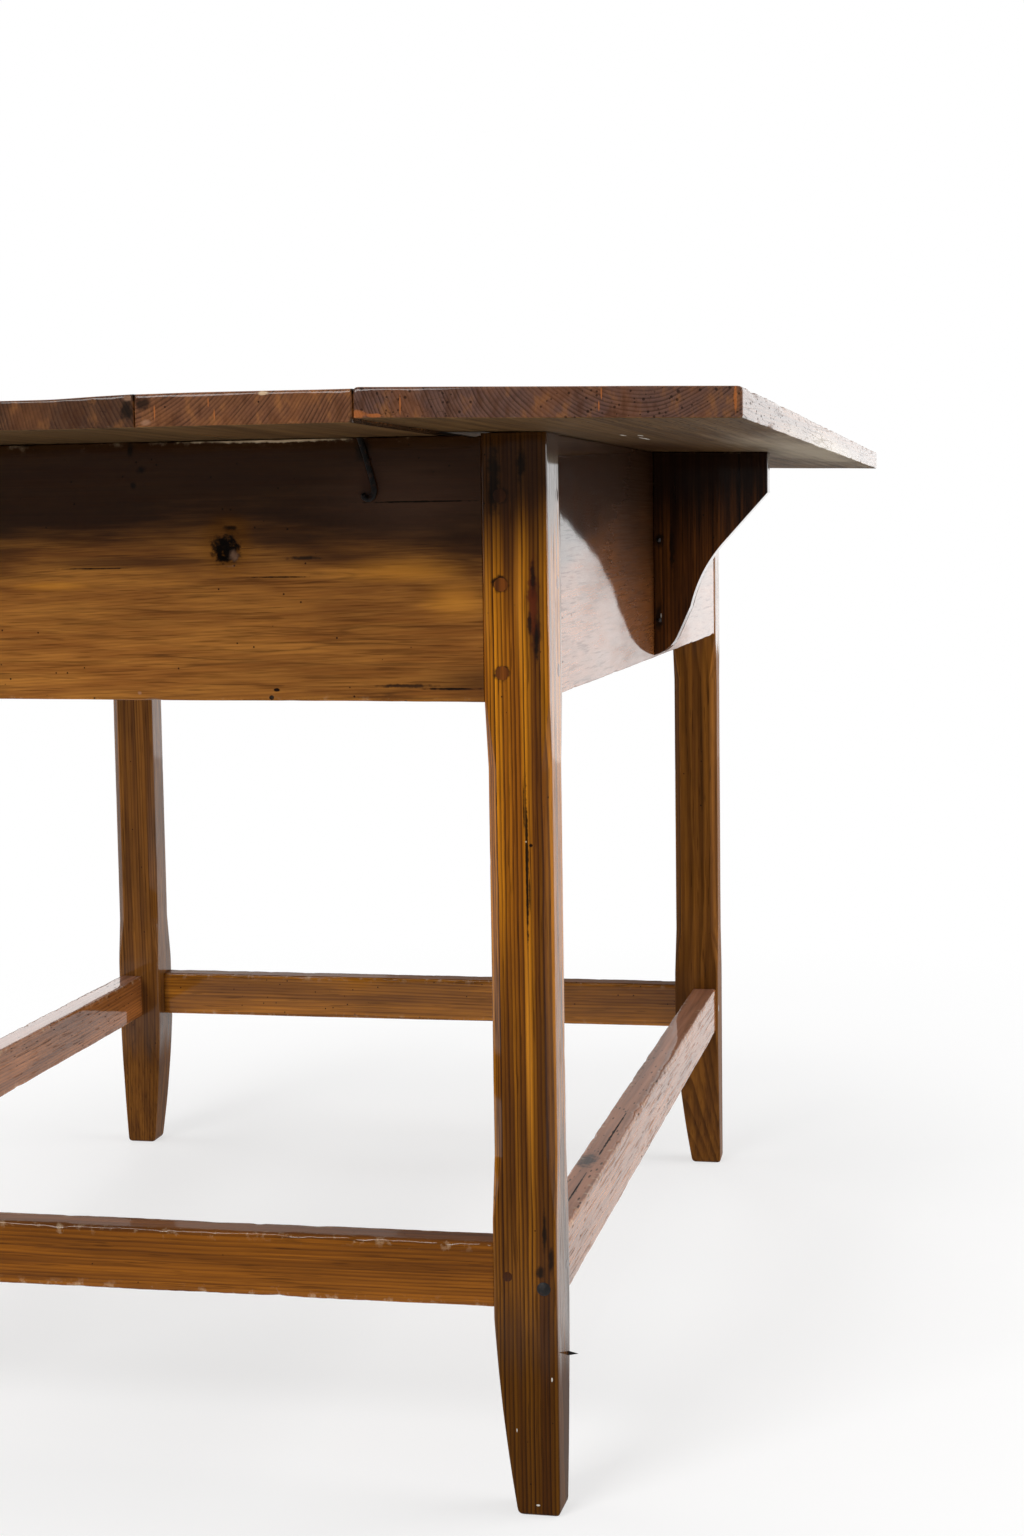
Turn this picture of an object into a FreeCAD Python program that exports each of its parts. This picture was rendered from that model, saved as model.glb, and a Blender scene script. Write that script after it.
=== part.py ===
import FreeCAD, Part
import math
import os
import re

import Sketcher

# A long narrow pine table on four square legs. All sizes are in millimetres.
# X runs across the table, Y along it and Z up; the origin is on the floor, under the middle.

SIZES = {
    # the base: four legs joined by two tiers of rails
    "base_width": (660, "over the outer faces of the legs, across"),
    "base_length": (980, "over the outer faces of the legs, along"),
    "base_height": (736, "floor to the tops of the legs"),
    "end_apron_drop": (1, "tops of the end aprons below the tops of the legs"),
    "leg_size": (45, "square section of a leg"),
    "leg_relief": (2, "how far the inner faces of a leg are cut back between the rails"),
    "leg_chamfer": (7, "width of the stopped chamfer on each leg corner"),
    "chamfer_run": (45, "length of the run-out at each end of a chamfer"),
    "chamfer_head": (2, "plain wood between a chamfer and the upper rail"),
    "chamfer_foot": (16, "plain wood between a chamfer and the lower rail"),
    "foot_taper": (15, "how much narrower a foot is at the floor, on each inner side"),
    "foot_taper_start": (138, "height at which the foot begins to taper"),
    "foot_taper_radius": (1300, "curve of the tapered faces"),
    "foot_round": (3.5, "rounding round the sole of a foot"),
    # aprons: the upper rails
    "apron_height": (175, "depth of the upper rails"),
    "apron_thickness": (22, "thickness of the upper rails"),
    "apron_setback": (1, "outer face of an upper rail behind the leg's"),
    "apron_tenon_thickness": (8, "thickness of its tenons"),
    "apron_tenon_foot": (6, "shoulder below a tenon"),
    "apron_tenon_head": (18, "shoulder above a tenon"),
    # stretchers: the lower rails
    "stretcher_height": (45, "depth of the lower rails"),
    "stretcher_thickness": (24, "thickness of the lower rails"),
    "stretcher_setback": (2, "outer face of a lower rail behind the leg's"),
    "stretcher_rise": (145, "floor to the underside of the lower rails"),
    "stretcher_tenon_thickness": (10, "thickness of its tenons"),
    "stretcher_tenon_foot": (6, "shoulder below a tenon"),
    "stretcher_tenon_head": (6, "shoulder above a tenon"),
    # joints
    "tenon_wall": (2, "wood left between the two tenons that meet in a leg"),
    "mortise_relief": (1, "space past the end of a tenon"),
    "hole_clearance": (0.2, "hole diameter over the peg's or nail's"),
    "hole_relief": (0.5, "space past the end of a peg or nail"),
    "apron_peg": (9.5, "diameter of the pegs through the upper joints"),
    "apron_peg_inset": (12.5, "peg centre from the shoulder of the tenon"),
    "apron_peg_first": (17, "lowest peg above the lower edge of the rail"),
    "apron_peg_spacing": (58.5, "from peg to peg up the joint"),
    "stretcher_peg": (7, "diameter of the pegs through the lower joints"),
    "stretcher_peg_inset": (10, "peg centre from the shoulder of the tenon"),
    "peg_depth": (24, "how far a peg goes into the leg"),
    "peg_proud": (0.8, "how far a peg stands out of the leg"),
    "peg_bevel": (0.6, "bevel round the end of a peg"),
    # the top: five boards laid lengthwise
    "side_overhang": (151, "top past the legs, at the sides"),
    "end_overhang": (217, "top past the legs, at the ends"),
    "board_thickness": (20, "thickness of the three middle boards"),
    "edge_board_thickness": (18.3, "thickness of the two outer boards"),
    "edge_board_width": (224, "width of the two outer boards"),
    "second_board_width": (132, "width of the boards next to them"),
    "board_gap": (0.4, "open joint between boards"),
    "edge_board_fall": (5, "how much lower the outer edge of an outer board is than its inner edge"),
    "centre_hollow": (2, "worn depth of the middle board"),
    "hollow_shoulder": (50, "width of the slope beside the hollow"),
    "edge_round": (3, "worn roundness of the upper outer edge"),
    # brackets under the side overhangs
    "bracket_thickness": (22, "thickness of a bracket"),
    "bracket_projection": (97.5, "reach of a bracket from the upper rail"),
    "bracket_drop": (173, "top of a bracket to its tip"),
    "bracket_nose": (36, "upright end under the top board"),
    "bracket_offset": (15, "middle of a bracket past the middle of the table"),
    "knee_reach": (62, "end of the straight slope, from the rail"),
    "knee_drop": (75, "end of the straight slope, from the top"),
    "waist_reach": (31, "end of the hollow curve, from the rail"),
    "waist_rise": (41, "end of the hollow curve, above the tip"),
    "toe_reach": (19, "start of the rounded tip, from the rail"),
    "toe_rise": (15, "start of the rounded tip, above its end"),
    "hollow_radius": (125, "radius of the hollow curve"),
    "toe_radius": (27, "radius of the rounded tip"),
    # ironwork
    "top_nail": (3.2, "shank diameter of the nails in the top"),
    "top_nail_head": (7, "diameter of their heads"),
    "top_nail_head_depth": (1.2, "thickness of their heads"),
    "top_nail_length": (46, "length of their shanks"),
    "second_nail_spread": (70, "between the two nails at an end of a second board"),
    "centre_nail_spread": (120, "between the two nails at an end of the middle board"),
    "side_nail_end": (60, "end nail of an outer board, from the leg's inner face"),
    "side_nail_spread": (300, "between the two middle nails of an outer board"),
    "bracket_nail": (3.4, "diameter of the nails driven aslant through a bracket"),
    "bracket_nail_length": (22, "length of these nails"),
    "bracket_nail_reach": (5, "where they enter, from the rail"),
    "bracket_nail_high": (75, "upper one below the top of the bracket"),
    "bracket_nail_low": (143, "lower one below the top of the bracket"),
    "bracket_nail_proud": (1, "length that shows outside the bracket"),
    "stud_head": (9.5, "head diameter of the forged nail in a leg's end face"),
    "stud_head_depth": (1.6, "how far its head stands out"),
    "stud_shank": (4, "shank diameter of the forged nail"),
    "stud_length": (17, "shank length of the forged nail"),
    "stud_inset": (10, "forged nail from the outer side of the leg"),
    "stud_height": (160, "forged nail above the floor"),
    "point_diameter": (3, "diameter of the nail point that stands out of a leg's side"),
    "point_length": (7, "how far the point stands out"),
    "point_root": (10, "how far it is sunk in the leg"),
    "point_inset": (37, "point from the leg's end face"),
    "point_height": (103.5, "point above the floor"),
    "hook_wire": (3.6, "thickness of the iron hook on the end rail"),
    "hook_place": (203, "stem of the hook, from the middle of the table"),
    "hook_stem": (30, "bowed part of the stem below the top"),
    "hook_lean": (9.7, "sideways run of the bowed part"),
    "hook_shank": (7, "upright part of the stem"),
    "hook_bend": (4, "radius of the bend"),
    "hook_clearance": (0.2, "hook in front of the rail and under the board"),
}

doc = FreeCAD.newDocument("TavernTable")
sheet = doc.addObject("Spreadsheet::Sheet", "Sizes")
for line, (alias, (number, note)) in enumerate(SIZES.items(), start=1):
    sheet.set(f"A{line}", note)
    sheet.set(f"B{line}", str(number))
    sheet.setAlias(f"B{line}", alias)
doc.recompute()

ALIASES = re.compile(r"\b(" + "|".join(SIZES) + r")\b")


def bound(expression):
    """The expression with each size's name tied to its cell."""
    return ALIASES.sub(r"Sizes.\1", expression)


def number_of(expression):
    return float(sheet.evalExpression(bound(expression)))


def bind(thing, **expressions):
    for name, expression in expressions.items():
        thing.setExpression(name, bound(expression))


UP = FreeCAD.Vector(0, 0, 1)
ALONG_X = FreeCAD.Vector(1, 0, 0)
ALONG_Y = FreeCAD.Vector(0, 1, 0)
SIDES = (1, -1)


def place(thing, x="0", y="0", z="0", turn=0.0, laid=0.0):
    """Puts the thing at x, y, z: tipped over towards X, then turned about the vertical."""
    turning = FreeCAD.Rotation(UP, turn) * FreeCAD.Rotation(ALONG_Y, laid)
    thing.Placement = FreeCAD.Placement(FreeCAD.Vector(), turning)
    for axis, expression in zip("xyz", (x, y, z)):
        thing.setExpression(f"Placement.Base.{axis}", bound(expression))


# Derived places, all from the sizes above.
HALF_WIDTH = "(base_width / 2)"
HALF_LENGTH = "(base_length / 2)"
APRON_RISE = "(base_height - apron_height)"
CHAMFER_LOW = "(stretcher_rise + stretcher_height + chamfer_foot)"
CHAMFER_HIGH = f"({APRON_RISE} - chamfer_head)"
TOP_HALF_WIDTH = "(base_width / 2 + side_overhang)"
TOP_LENGTH = "(base_length + 2 * end_overhang)"
EDGE_JOINT = f"({TOP_HALF_WIDTH} - edge_board_width)"
SECOND_JOINT = f"({EDGE_JOINT} - second_board_width)"
EDGE_SLOPE = "(edge_board_fall / edge_board_width)"
BOARD_SEAT = "(base_height - end_apron_drop)"
BOARD_TOP = f"({BOARD_SEAT} + board_thickness)"
BRACKET_FACE = f"({HALF_WIDTH} - apron_setback)"
APRON_LINE_X = f"({HALF_WIDTH} - apron_setback - apron_thickness / 2)"
APRON_LINE_Y = f"({HALF_LENGTH} - apron_setback - apron_thickness / 2)"
STRETCHER_PEG_HEIGHT = "(stretcher_rise + stretcher_height / 2)"


def edge_underside(reach):
    """Height of an outer board's underside at this distance from the middle."""
    return f"(base_height + ({HALF_WIDTH} - {reach}) * {EDGE_SLOPE})"


def tenon_length(rail):
    return f"(leg_size - {rail}_setback - ({rail}_thickness + {rail}_tenon_thickness) / 2 - tenon_wall)"


def hole(diameter):
    return f"({diameter} + hole_clearance)"


# ---------------------------------------------------------------- sketches and features


def attach(sketch, body, plane, lift="0", turn=0.0, shift="0"):
    """Lays the sketch on one of the body's own origin planes, raised, shifted and turned."""
    support = next(item for item in body.Origin.OriginFeatures if item.Role == plane)
    sketch.AttachmentSupport = [(support, "")]
    sketch.MapMode = "FlatFace"
    sketch.AttachmentOffset = FreeCAD.Placement(FreeCAD.Vector(), FreeCAD.Rotation(ALONG_Y, turn))
    sketch.setExpression("AttachmentOffset.Base.x", bound(shift))
    sketch.setExpression("AttachmentOffset.Base.z", bound(lift))


def fix_point(sketch, shape, point, x, y):
    """Ties a point of the sketch to a place given by two expressions."""
    for kind, expression in (("DistanceX", x), ("DistanceY", y)):
        rule = Sketcher.Constraint(kind, -1, 1, shape, point, number_of(expression))
        index = sketch.addConstraint(rule)
        sketch.setExpression(f"Constraints[{index}]", bound(expression))


def arc_between(start, end, radius, bulge):
    """Arc from start to end, bulging to the left of that direction if bulge is 1."""
    chord = end - start
    left = FreeCAD.Vector(-chord.y, chord.x, 0).normalize()
    sagitta = radius - math.sqrt(radius**2 - chord.Length**2 / 4)
    middle = (start + end) * 0.5 + left * (bulge * sagitta)
    return Part.Arc(start, middle, end)


def outline(body, name, plane, corners, arcs=None, closed=True, **where):
    """Sketch through the corners. arcs gives (radius, bulge) for the edge that leaves a corner."""
    arcs = arcs or {}
    sketch = body.newObject("Sketcher::SketchObject", name)
    attach(sketch, body, plane, **where)
    points = [FreeCAD.Vector(number_of(x), number_of(y), 0) for x, y in corners]
    count = len(points) if closed else len(points) - 1
    starts = []
    for index in range(count):
        start = points[index]
        end = points[(index + 1) % len(points)]
        if index in arcs:
            radius, bulge = arcs[index]
            sketch.addGeometry(arc_between(start, end, number_of(radius), bulge), False)
        else:
            sketch.addGeometry(Part.LineSegment(start, end), False)
        first = sketch.getPoint(index, 1)
        starts.append(1 if first.distanceToPoint(start) < first.distanceToPoint(end) else 2)
    for index in range(count if closed else count - 1):
        following = (index + 1) % count
        ends = (index, 3 - starts[index], following, starts[following])
        sketch.addConstraint(Sketcher.Constraint("Coincident", *ends))
    for index in range(count):
        fix_point(sketch, index, starts[index], *corners[index])
    if not closed:
        fix_point(sketch, count - 1, 3 - starts[-1], *corners[-1])
    for index, (radius, bulge) in arcs.items():
        rule = sketch.addConstraint(Sketcher.Constraint("Radius", index, number_of(radius)))
        sketch.setExpression(f"Constraints[{rule}]", bound(radius))
    return sketch


def rounds(body, name, plane, centres, diameter, **where):
    """Sketch of equal circles."""
    sketch = body.newObject("Sketcher::SketchObject", name)
    attach(sketch, body, plane, **where)
    normal = FreeCAD.Vector(0, 0, 1)
    for index, (x, y) in enumerate(centres):
        centre = FreeCAD.Vector(number_of(x), number_of(y), 0)
        sketch.addGeometry(Part.Circle(centre, normal, number_of(diameter) / 2), False)
        fix_point(sketch, index, 3, x, y)
        rule = sketch.addConstraint(Sketcher.Constraint("Diameter", index, number_of(diameter)))
        sketch.setExpression(f"Constraints[{rule}]", bound(diameter))
    return sketch


def rectangle(left, right, low, high):
    return [(left, low), (right, low), (right, high), (left, high)]


def extrude(body, kind, sketch, length, reverse=False, both_ways=False):
    feature = body.newObject(f"PartDesign::{kind}", f"{sketch.Name}_{kind.lower()}")
    feature.Profile = sketch
    feature.Reversed = reverse
    if both_ways:
        feature.SideType = "Symmetric"
    bind(feature, Length=length)
    return feature


def new_body(label):
    body = doc.addObject("PartDesign::Body", label)
    body.Label = label
    return body


def turned(body, name, corners, arcs=None):
    """Solid of revolution about the body's own Z axis, from a half section."""
    sketch = outline(body, name, "XZ_Plane", corners, arcs)
    feature = body.newObject("PartDesign::Revolution", f"{name}_turned")
    feature.Profile = sketch
    feature.ReferenceAxis = (sketch, ["V_Axis"])
    feature.Angle = 360
    return feature


def copies(label, pattern, places, laid=0.0):
    """One node of equal pieces, each at x, y, z and turned to its heading from X.

    laid is how far the pattern is first tipped over, from upright towards X."""
    links = []
    for index, (x, y, z, heading) in enumerate(places, start=1):
        link = doc.addObject("App::Link", f"{label}_{index}")
        link.LinkedObject = pattern
        place(link, x, y, z, heading, laid)
        links.append(link)
    group = doc.addObject("Part::Compound", label)
    group.Label = label
    group.Links = links
    return group


# ---------------------------------------------------------------- legs


def apron_peg_heights(base):
    return [f"({base} + apron_peg_first + {step} * apron_peg_spacing)" for step in range(3)]


def leg_faces(body):
    """Cuts the relieved and tapered inner faces, seen along one axis and then along the other."""
    for plane, reverse in (("XZ_Plane", False), ("YZ_Plane", True)):
        relieved = "(leg_size - leg_relief)"
        relief = [
            ("leg_size", CHAMFER_LOW),
            (relieved, f"{CHAMFER_LOW} + chamfer_run"),
            (relieved, f"{CHAMFER_HIGH} - chamfer_run"),
            ("leg_size", CHAMFER_HIGH),
        ]
        sketch = outline(body, f"relief_{plane[:2]}", plane, relief)
        extrude(body, "Pocket", sketch, "leg_size", reverse)
        taper = [
            ("leg_size", "foot_taper_start"),
            ("leg_size - foot_taper", "0"),
            ("leg_size", "0"),
        ]
        sketch = outline(body, f"taper_{plane[:2]}", plane, taper, {0: ("foot_taper_radius", 1)})
        extrude(body, "Pocket", sketch, "leg_size", reverse)


def leg_chamfers(body):
    """Stopped chamfers on the four corners, drawn in the upright planes through the diagonals."""
    far = "leg_size * sqrt(2)"
    diagonals = (("fall", 45, "0", 0, 2), ("rise", 135, "leg_size", 1, 1))
    for name, turn, shift, near_reliefs, far_reliefs in diagonals:
        near_cut = f"(leg_chamfer + {near_reliefs} * leg_relief) / sqrt(2)"
        far_cut = f"(leg_chamfer + {far_reliefs} * leg_relief) / sqrt(2)"
        for end, corner, cut in (("near", "0", near_cut), ("far", far, f"{far} - {far_cut}")):
            section = [
                (corner, CHAMFER_LOW),
                (cut, f"{CHAMFER_LOW} + chamfer_run"),
                (cut, f"{CHAMFER_HIGH} - chamfer_run"),
                (corner, CHAMFER_HIGH),
            ]
            sketch = outline(body, f"{name}_{end}", "XZ_Plane", section, turn=turn, shift=shift)
            extrude(body, "Pocket", sketch, "2 * leg_size", both_ways=True)


def leg_mortises(body, rail, rise, tenon_foot, tenon_head, height):
    """A mortise in each inner face for the tenons of one tier of rails."""
    near = f"({rail}_setback + ({rail}_thickness - {rail}_tenon_thickness) / 2)"
    span = rectangle(near, f"{near} + {rail}_tenon_thickness", f"{rise} + {tenon_foot}",
                     f"{rise} + {height} - {tenon_head}")
    depth = f"{tenon_length(rail)} + mortise_relief"
    sketch = outline(body, f"{rail}_mortise_x", "YZ_Plane", span, lift="leg_size")
    extrude(body, "Pocket", sketch, depth)
    sketch = outline(body, f"{rail}_mortise_y", "XZ_Plane", span, lift="-leg_size")
    extrude(body, "Pocket", sketch, depth, reverse=True)


def leg_peg_holes(body, rail, heights):
    """Peg holes from the two outer faces, across the mortises."""
    across = f"(leg_size - {rail}_peg_inset)"
    centres = [(across, height) for height in heights]
    depth = "peg_depth + hole_relief"
    sketch = rounds(body, f"{rail}_pegs_x", "YZ_Plane", centres, hole(f"{rail}_peg"))
    extrude(body, "Pocket", sketch, depth, reverse=True)
    sketch = rounds(body, f"{rail}_pegs_y", "XZ_Plane", centres, hole(f"{rail}_peg"))
    extrude(body, "Pocket", sketch, depth)


def sole_of(shape):
    """Name of the flat face that stands on the floor."""
    for index, face in enumerate(shape.Faces, start=1):
        box = face.BoundBox
        if abs(box.ZMax) < 1e-6 and abs(box.ZMin) < 1e-6:
            return f"Face{index}"
    raise RuntimeError("the leg has no sole")


def make_leg(label, across, along, ironwork=False):
    """One leg, drawn from its outer corner: the inner faces look along its own X and Y.

    across and along are 1 or -1: the side and the end of the table that it stands at."""
    body = new_body(label)
    section = rectangle("0", "leg_size", "0", "leg_size")
    extrude(body, "Pad", outline(body, "section", "XY_Plane", section), "base_height")
    leg_faces(body)
    leg_chamfers(body)
    leg_mortises(body, "apron", APRON_RISE, "apron_tenon_foot", "apron_tenon_head", "apron_height")
    leg_mortises(body, "stretcher", "stretcher_rise", "stretcher_tenon_foot",
                 "stretcher_tenon_head", "stretcher_height")
    leg_peg_holes(body, "apron", apron_peg_heights(APRON_RISE))
    leg_peg_holes(body, "stretcher", [STRETCHER_PEG_HEIGHT])
    if ironwork:
        stud = rounds(body, "stud_hole", "YZ_Plane", [("stud_inset", "stud_height")], hole("stud_shank"))
        extrude(body, "Pocket", stud, "stud_length + hole_relief", reverse=True)
        point = rounds(body, "point_hole", "XZ_Plane", [("point_inset", "point_height")],
                       hole("point_diameter"))
        extrude(body, "Pocket", point, "point_root + hole_relief")
    doc.recompute()
    last = body.Tip
    rounding = body.newObject("PartDesign::Fillet", f"{label}_sole")
    rounding.Base = (last, [sole_of(last.Shape)])
    bind(rounding, Radius="foot_round")
    inward = math.degrees(math.atan2(-along, -across))
    place(body, f"{across} * {HALF_WIDTH}", f"{along} * {HALF_LENGTH}", turn=inward - 45)
    return body


# ---------------------------------------------------------------- rails


def make_rail(label, rail, span, height, peg_heights):
    """A rail with a tenon at each end: X along it, its outer face at Y = 0, its lower edge at Z = 0."""
    body = new_body(label)
    half = f"({span} / 2 - leg_size)"
    board = rectangle(f"-{half}", half, "0", height)
    sketch = outline(body, "board", "XZ_Plane", board)
    extrude(body, "Pad", sketch, f"{rail}_thickness", reverse=True)
    reach = f"({half} + {tenon_length(rail)})"
    tenon = rectangle(f"-{reach}", reach, f"{rail}_tenon_foot", f"{rail}_height - {rail}_tenon_head")
    depth = f"({rail}_thickness - {rail}_tenon_thickness) / 2"
    sketch = outline(body, "tenons", "XZ_Plane", tenon, lift=f"-{depth}")
    extrude(body, "Pad", sketch, f"{rail}_tenon_thickness", reverse=True)
    centres = [(f"{side} * ({half} + {rail}_peg_inset)", peg_height)
               for side in SIDES for peg_height in peg_heights]
    sketch = rounds(body, "peg_holes", "XZ_Plane", centres, hole(f"{rail}_peg"))
    extrude(body, "Pocket", sketch, f"{rail}_thickness")
    return body


def nail_holes(body, places, height, board):
    """Blind holes for the top's nails, down from the upper edge of an apron, through this much board."""
    centres = [(along, "apron_thickness / 2") for along in places]
    sketch = rounds(body, "nail_holes", "XY_Plane", centres, hole("top_nail"), lift=height)
    extrude(body, "Pocket", sketch, f"top_nail_length - {board} + hole_relief")


def place_rail(thing, rail, rise, across, along):
    """Puts a rail at the side or the end that across and along point to."""
    outward = math.degrees(math.atan2(along, across))
    place(thing, f"{across} * ({HALF_WIDTH} - {rail}_setback)",
          f"{along} * ({HALF_LENGTH} - {rail}_setback)", rise, turn=outward + 90)


# ---------------------------------------------------------------- places of the nails in the top

SECOND_MIDDLE = f"(({EDGE_JOINT} + {SECOND_JOINT}) / 2)"
END_NAILS = {
    "second": [f"({SECOND_MIDDLE} + {side} * second_nail_spread / 2)" for side in SIDES],
    "centre": [f"({side} * centre_nail_spread / 2)" for side in SIDES],
}
SIDE_NAILS = [f"({side} * ({HALF_LENGTH} - leg_size - side_nail_end))" for side in SIDES]
SIDE_NAILS += [f"({side} * side_nail_spread / 2)" for side in SIDES]


def end_apron_nails():
    """Along a near or far apron: the nails of the three middle boards."""
    across = list(END_NAILS["centre"])
    for side in SIDES:
        across += [f"{side} * {reach}" for reach in END_NAILS["second"]]
    return across


# ---------------------------------------------------------------- top boards


def make_board(label, section, arcs, nails, head_height):
    """A board drawn by its end section, with a hole and a sunk seat for each nail."""
    body = new_body(label)
    sketch = outline(body, "section", "XZ_Plane", section, arcs)
    extrude(body, "Pad", sketch, TOP_LENGTH, both_ways=True)
    sketch = rounds(body, "nail_holes", "XY_Plane", nails, hole("top_nail"), lift=head_height)
    extrude(body, "Pocket", sketch, "top_nail_length")
    sketch = rounds(body, "head_seats", "XY_Plane", nails, hole("top_nail_head"),
                    lift=f"{head_height} - top_nail_head_depth")
    extrude(body, "Pocket", sketch, "2 * top_nail_head_depth", reverse=True)
    return body


def edge_board(label, side):
    """An outer board, tipped outward over the edge of the base."""
    inner = f"({EDGE_JOINT} + board_gap / 2)"
    outer = TOP_HALF_WIDTH
    inner_low = edge_underside(inner)
    outer_low = edge_underside(outer)
    section = [
        (f"{side} * {inner}", inner_low),
        (f"{side} * {outer}", outer_low),
        (f"{side} * {outer}", f"{outer_low} + edge_board_thickness - edge_round"),
        (f"{side} * ({outer} - edge_round)",
         f"{outer_low} + edge_board_thickness + edge_round * {EDGE_SLOPE}"),
        (f"{side} * {inner}", f"{inner_low} + edge_board_thickness"),
    ]
    nails = [(f"{side} * {APRON_LINE_X}", along) for along in SIDE_NAILS]
    head_height = f"({edge_underside(APRON_LINE_X)} + edge_board_thickness)"
    rounding = {2: (f"edge_round * (1 + {EDGE_SLOPE})", -side)}
    return make_board(label, section, rounding, nails, head_height)


def second_board(label, side):
    inner = f"({SECOND_JOINT} + board_gap / 2)"
    outer = f"({EDGE_JOINT} - board_gap / 2)"
    section = rectangle(f"{side} * {inner}", f"{side} * {outer}", BOARD_SEAT, BOARD_TOP)
    nails = [(f"{side} * {reach}", f"{end} * {APRON_LINE_Y}")
             for reach in END_NAILS["second"] for end in SIDES]
    return make_board(label, section, None, nails, BOARD_TOP)


def centre_board(label):
    """The middle board, worn hollow between two sloping shoulders."""
    half = f"({SECOND_JOINT} - board_gap / 2)"
    flat = f"({half} - hollow_shoulder)"
    section = [
        (f"-{half}", BOARD_SEAT),
        (half, BOARD_SEAT),
        (half, BOARD_TOP),
        (flat, f"{BOARD_TOP} - centre_hollow"),
        (f"-{flat}", f"{BOARD_TOP} - centre_hollow"),
        (f"-{half}", BOARD_TOP),
    ]
    nails = [(reach, f"{end} * {APRON_LINE_Y}") for reach in END_NAILS["centre"] for end in SIDES]
    return make_board(label, section, None, nails, f"({BOARD_TOP} - centre_hollow)")


# ---------------------------------------------------------------- brackets

BRACKET_NAIL_DROPS = ("bracket_nail_high", "bracket_nail_low")
NAIL_SLANT = 45  # degrees from the bracket's length


def bracket_blank(label):
    """The bracket's shaped board: X is its reach from the apron, Z its drop below the top."""
    body = new_body(label)
    profile = [
        ("0", f"apron_setback * {EDGE_SLOPE}"),
        ("0", "-bracket_drop"),
        ("toe_reach", "-bracket_drop + toe_rise"),
        ("waist_reach", "-bracket_drop + waist_rise"),
        ("knee_reach", "-knee_drop"),
        ("bracket_projection", "-bracket_nose"),
        ("bracket_projection", f"-(bracket_projection - apron_setback) * {EDGE_SLOPE}"),
    ]
    arcs = {1: ("toe_radius", -1), 3: ("hollow_radius", 1)}
    sketch = outline(body, "profile", "XZ_Plane", profile, arcs)
    extrude(body, "Pad", sketch, "bracket_thickness", both_ways=True)
    return body


def slant_nail(label, side, drop, diameter):
    """A nail through a bracket's face into the apron behind it, in the table's own frame."""
    nail = doc.addObject("Part::Cylinder", label)
    bind(nail, Radius=f"{diameter} / 2", Height="bracket_nail_length")
    heading = FreeCAD.Rotation(UP, 90 * (1 - side)) * FreeCAD.Rotation(UP, NAIL_SLANT)
    nail.Placement = FreeCAD.Placement(FreeCAD.Vector(), heading * FreeCAD.Rotation(ALONG_X, -90))
    x = f"{side} * ({BRACKET_FACE} + bracket_nail_reach)"
    y = f"bracket_offset - {side} * bracket_thickness / 2"
    nail.setExpression("Placement.Base.x", bound(f"{x} + {side} * bracket_nail_proud * sin({NAIL_SLANT})"))
    nail.setExpression("Placement.Base.y", bound(f"{y} - {side} * bracket_nail_proud * cos({NAIL_SLANT})"))
    nail.setExpression("Placement.Base.z", bound(f"base_height - {drop}"))
    return nail


def drilled(label, blank, side):
    """The blank with the slanting nails' holes."""
    holes = [slant_nail(f"{label}_hole_{index}", side, drop, hole("bracket_nail"))
             for index, drop in enumerate(BRACKET_NAIL_DROPS, start=1)]
    drill = doc.addObject("Part::Compound", f"{label}_drill")
    drill.Links = holes
    cut = doc.addObject("Part::Cut", label)
    cut.Label = label
    cut.Base = blank
    cut.Tool = drill
    return cut


# ---------------------------------------------------------------- pegs and ironwork


def peg(label, diameter):
    """A peg pointing along Z from the face of the leg, with a bevelled end."""
    body = new_body(label)
    half = f"{diameter} / 2"
    section = [
        ("0", "-peg_proud"),
        (f"{half} - peg_bevel", "-peg_proud"),
        (half, "-peg_proud + peg_bevel"),
        (half, "peg_depth"),
        ("0", "peg_depth"),
    ]
    turned(body, "half_section", section)
    return body


def end_face_places(rail, heights):
    """Pegs driven through the near and far faces of the legs."""
    return [
        (f"{across} * ({HALF_WIDTH} - leg_size + {rail}_peg_inset)", f"{along} * {HALF_LENGTH}",
         height, -90 * along)
        for across in SIDES for along in SIDES for height in heights
    ]


def side_face_places(rail, heights):
    """Pegs driven through the right and left faces of the legs."""
    return [
        (f"{across} * {HALF_WIDTH}", f"{along} * ({HALF_LENGTH} - leg_size + {rail}_peg_inset)",
         height, 90 + 90 * across)
        for across in SIDES for along in SIDES for height in heights
    ]


def top_nail(label):
    """A nail pointing down from the top face of its head."""
    body = new_body(label)
    section = [
        ("0", "0"),
        ("top_nail_head / 2", "0"),
        ("top_nail_head / 2", "-top_nail_head_depth"),
        ("top_nail / 2", "-top_nail_head_depth"),
        ("top_nail / 2", "-top_nail_length"),
        ("0", "-top_nail_length"),
    ]
    turned(body, "half_section", section)
    return body


def top_nail_places():
    places = []
    for end in SIDES:
        for reach in END_NAILS["centre"]:
            places.append((reach, f"{end} * {APRON_LINE_Y}", f"{BOARD_TOP} - centre_hollow", 0))
        for side in SIDES:
            for reach in END_NAILS["second"]:
                places.append((f"{side} * {reach}", f"{end} * {APRON_LINE_Y}", BOARD_TOP, 0))
    for side in SIDES:
        for along in SIDE_NAILS:
            height = f"{edge_underside(APRON_LINE_X)} + edge_board_thickness"
            places.append((f"{side} * {APRON_LINE_X}", along, height, 0))
    return places


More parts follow.
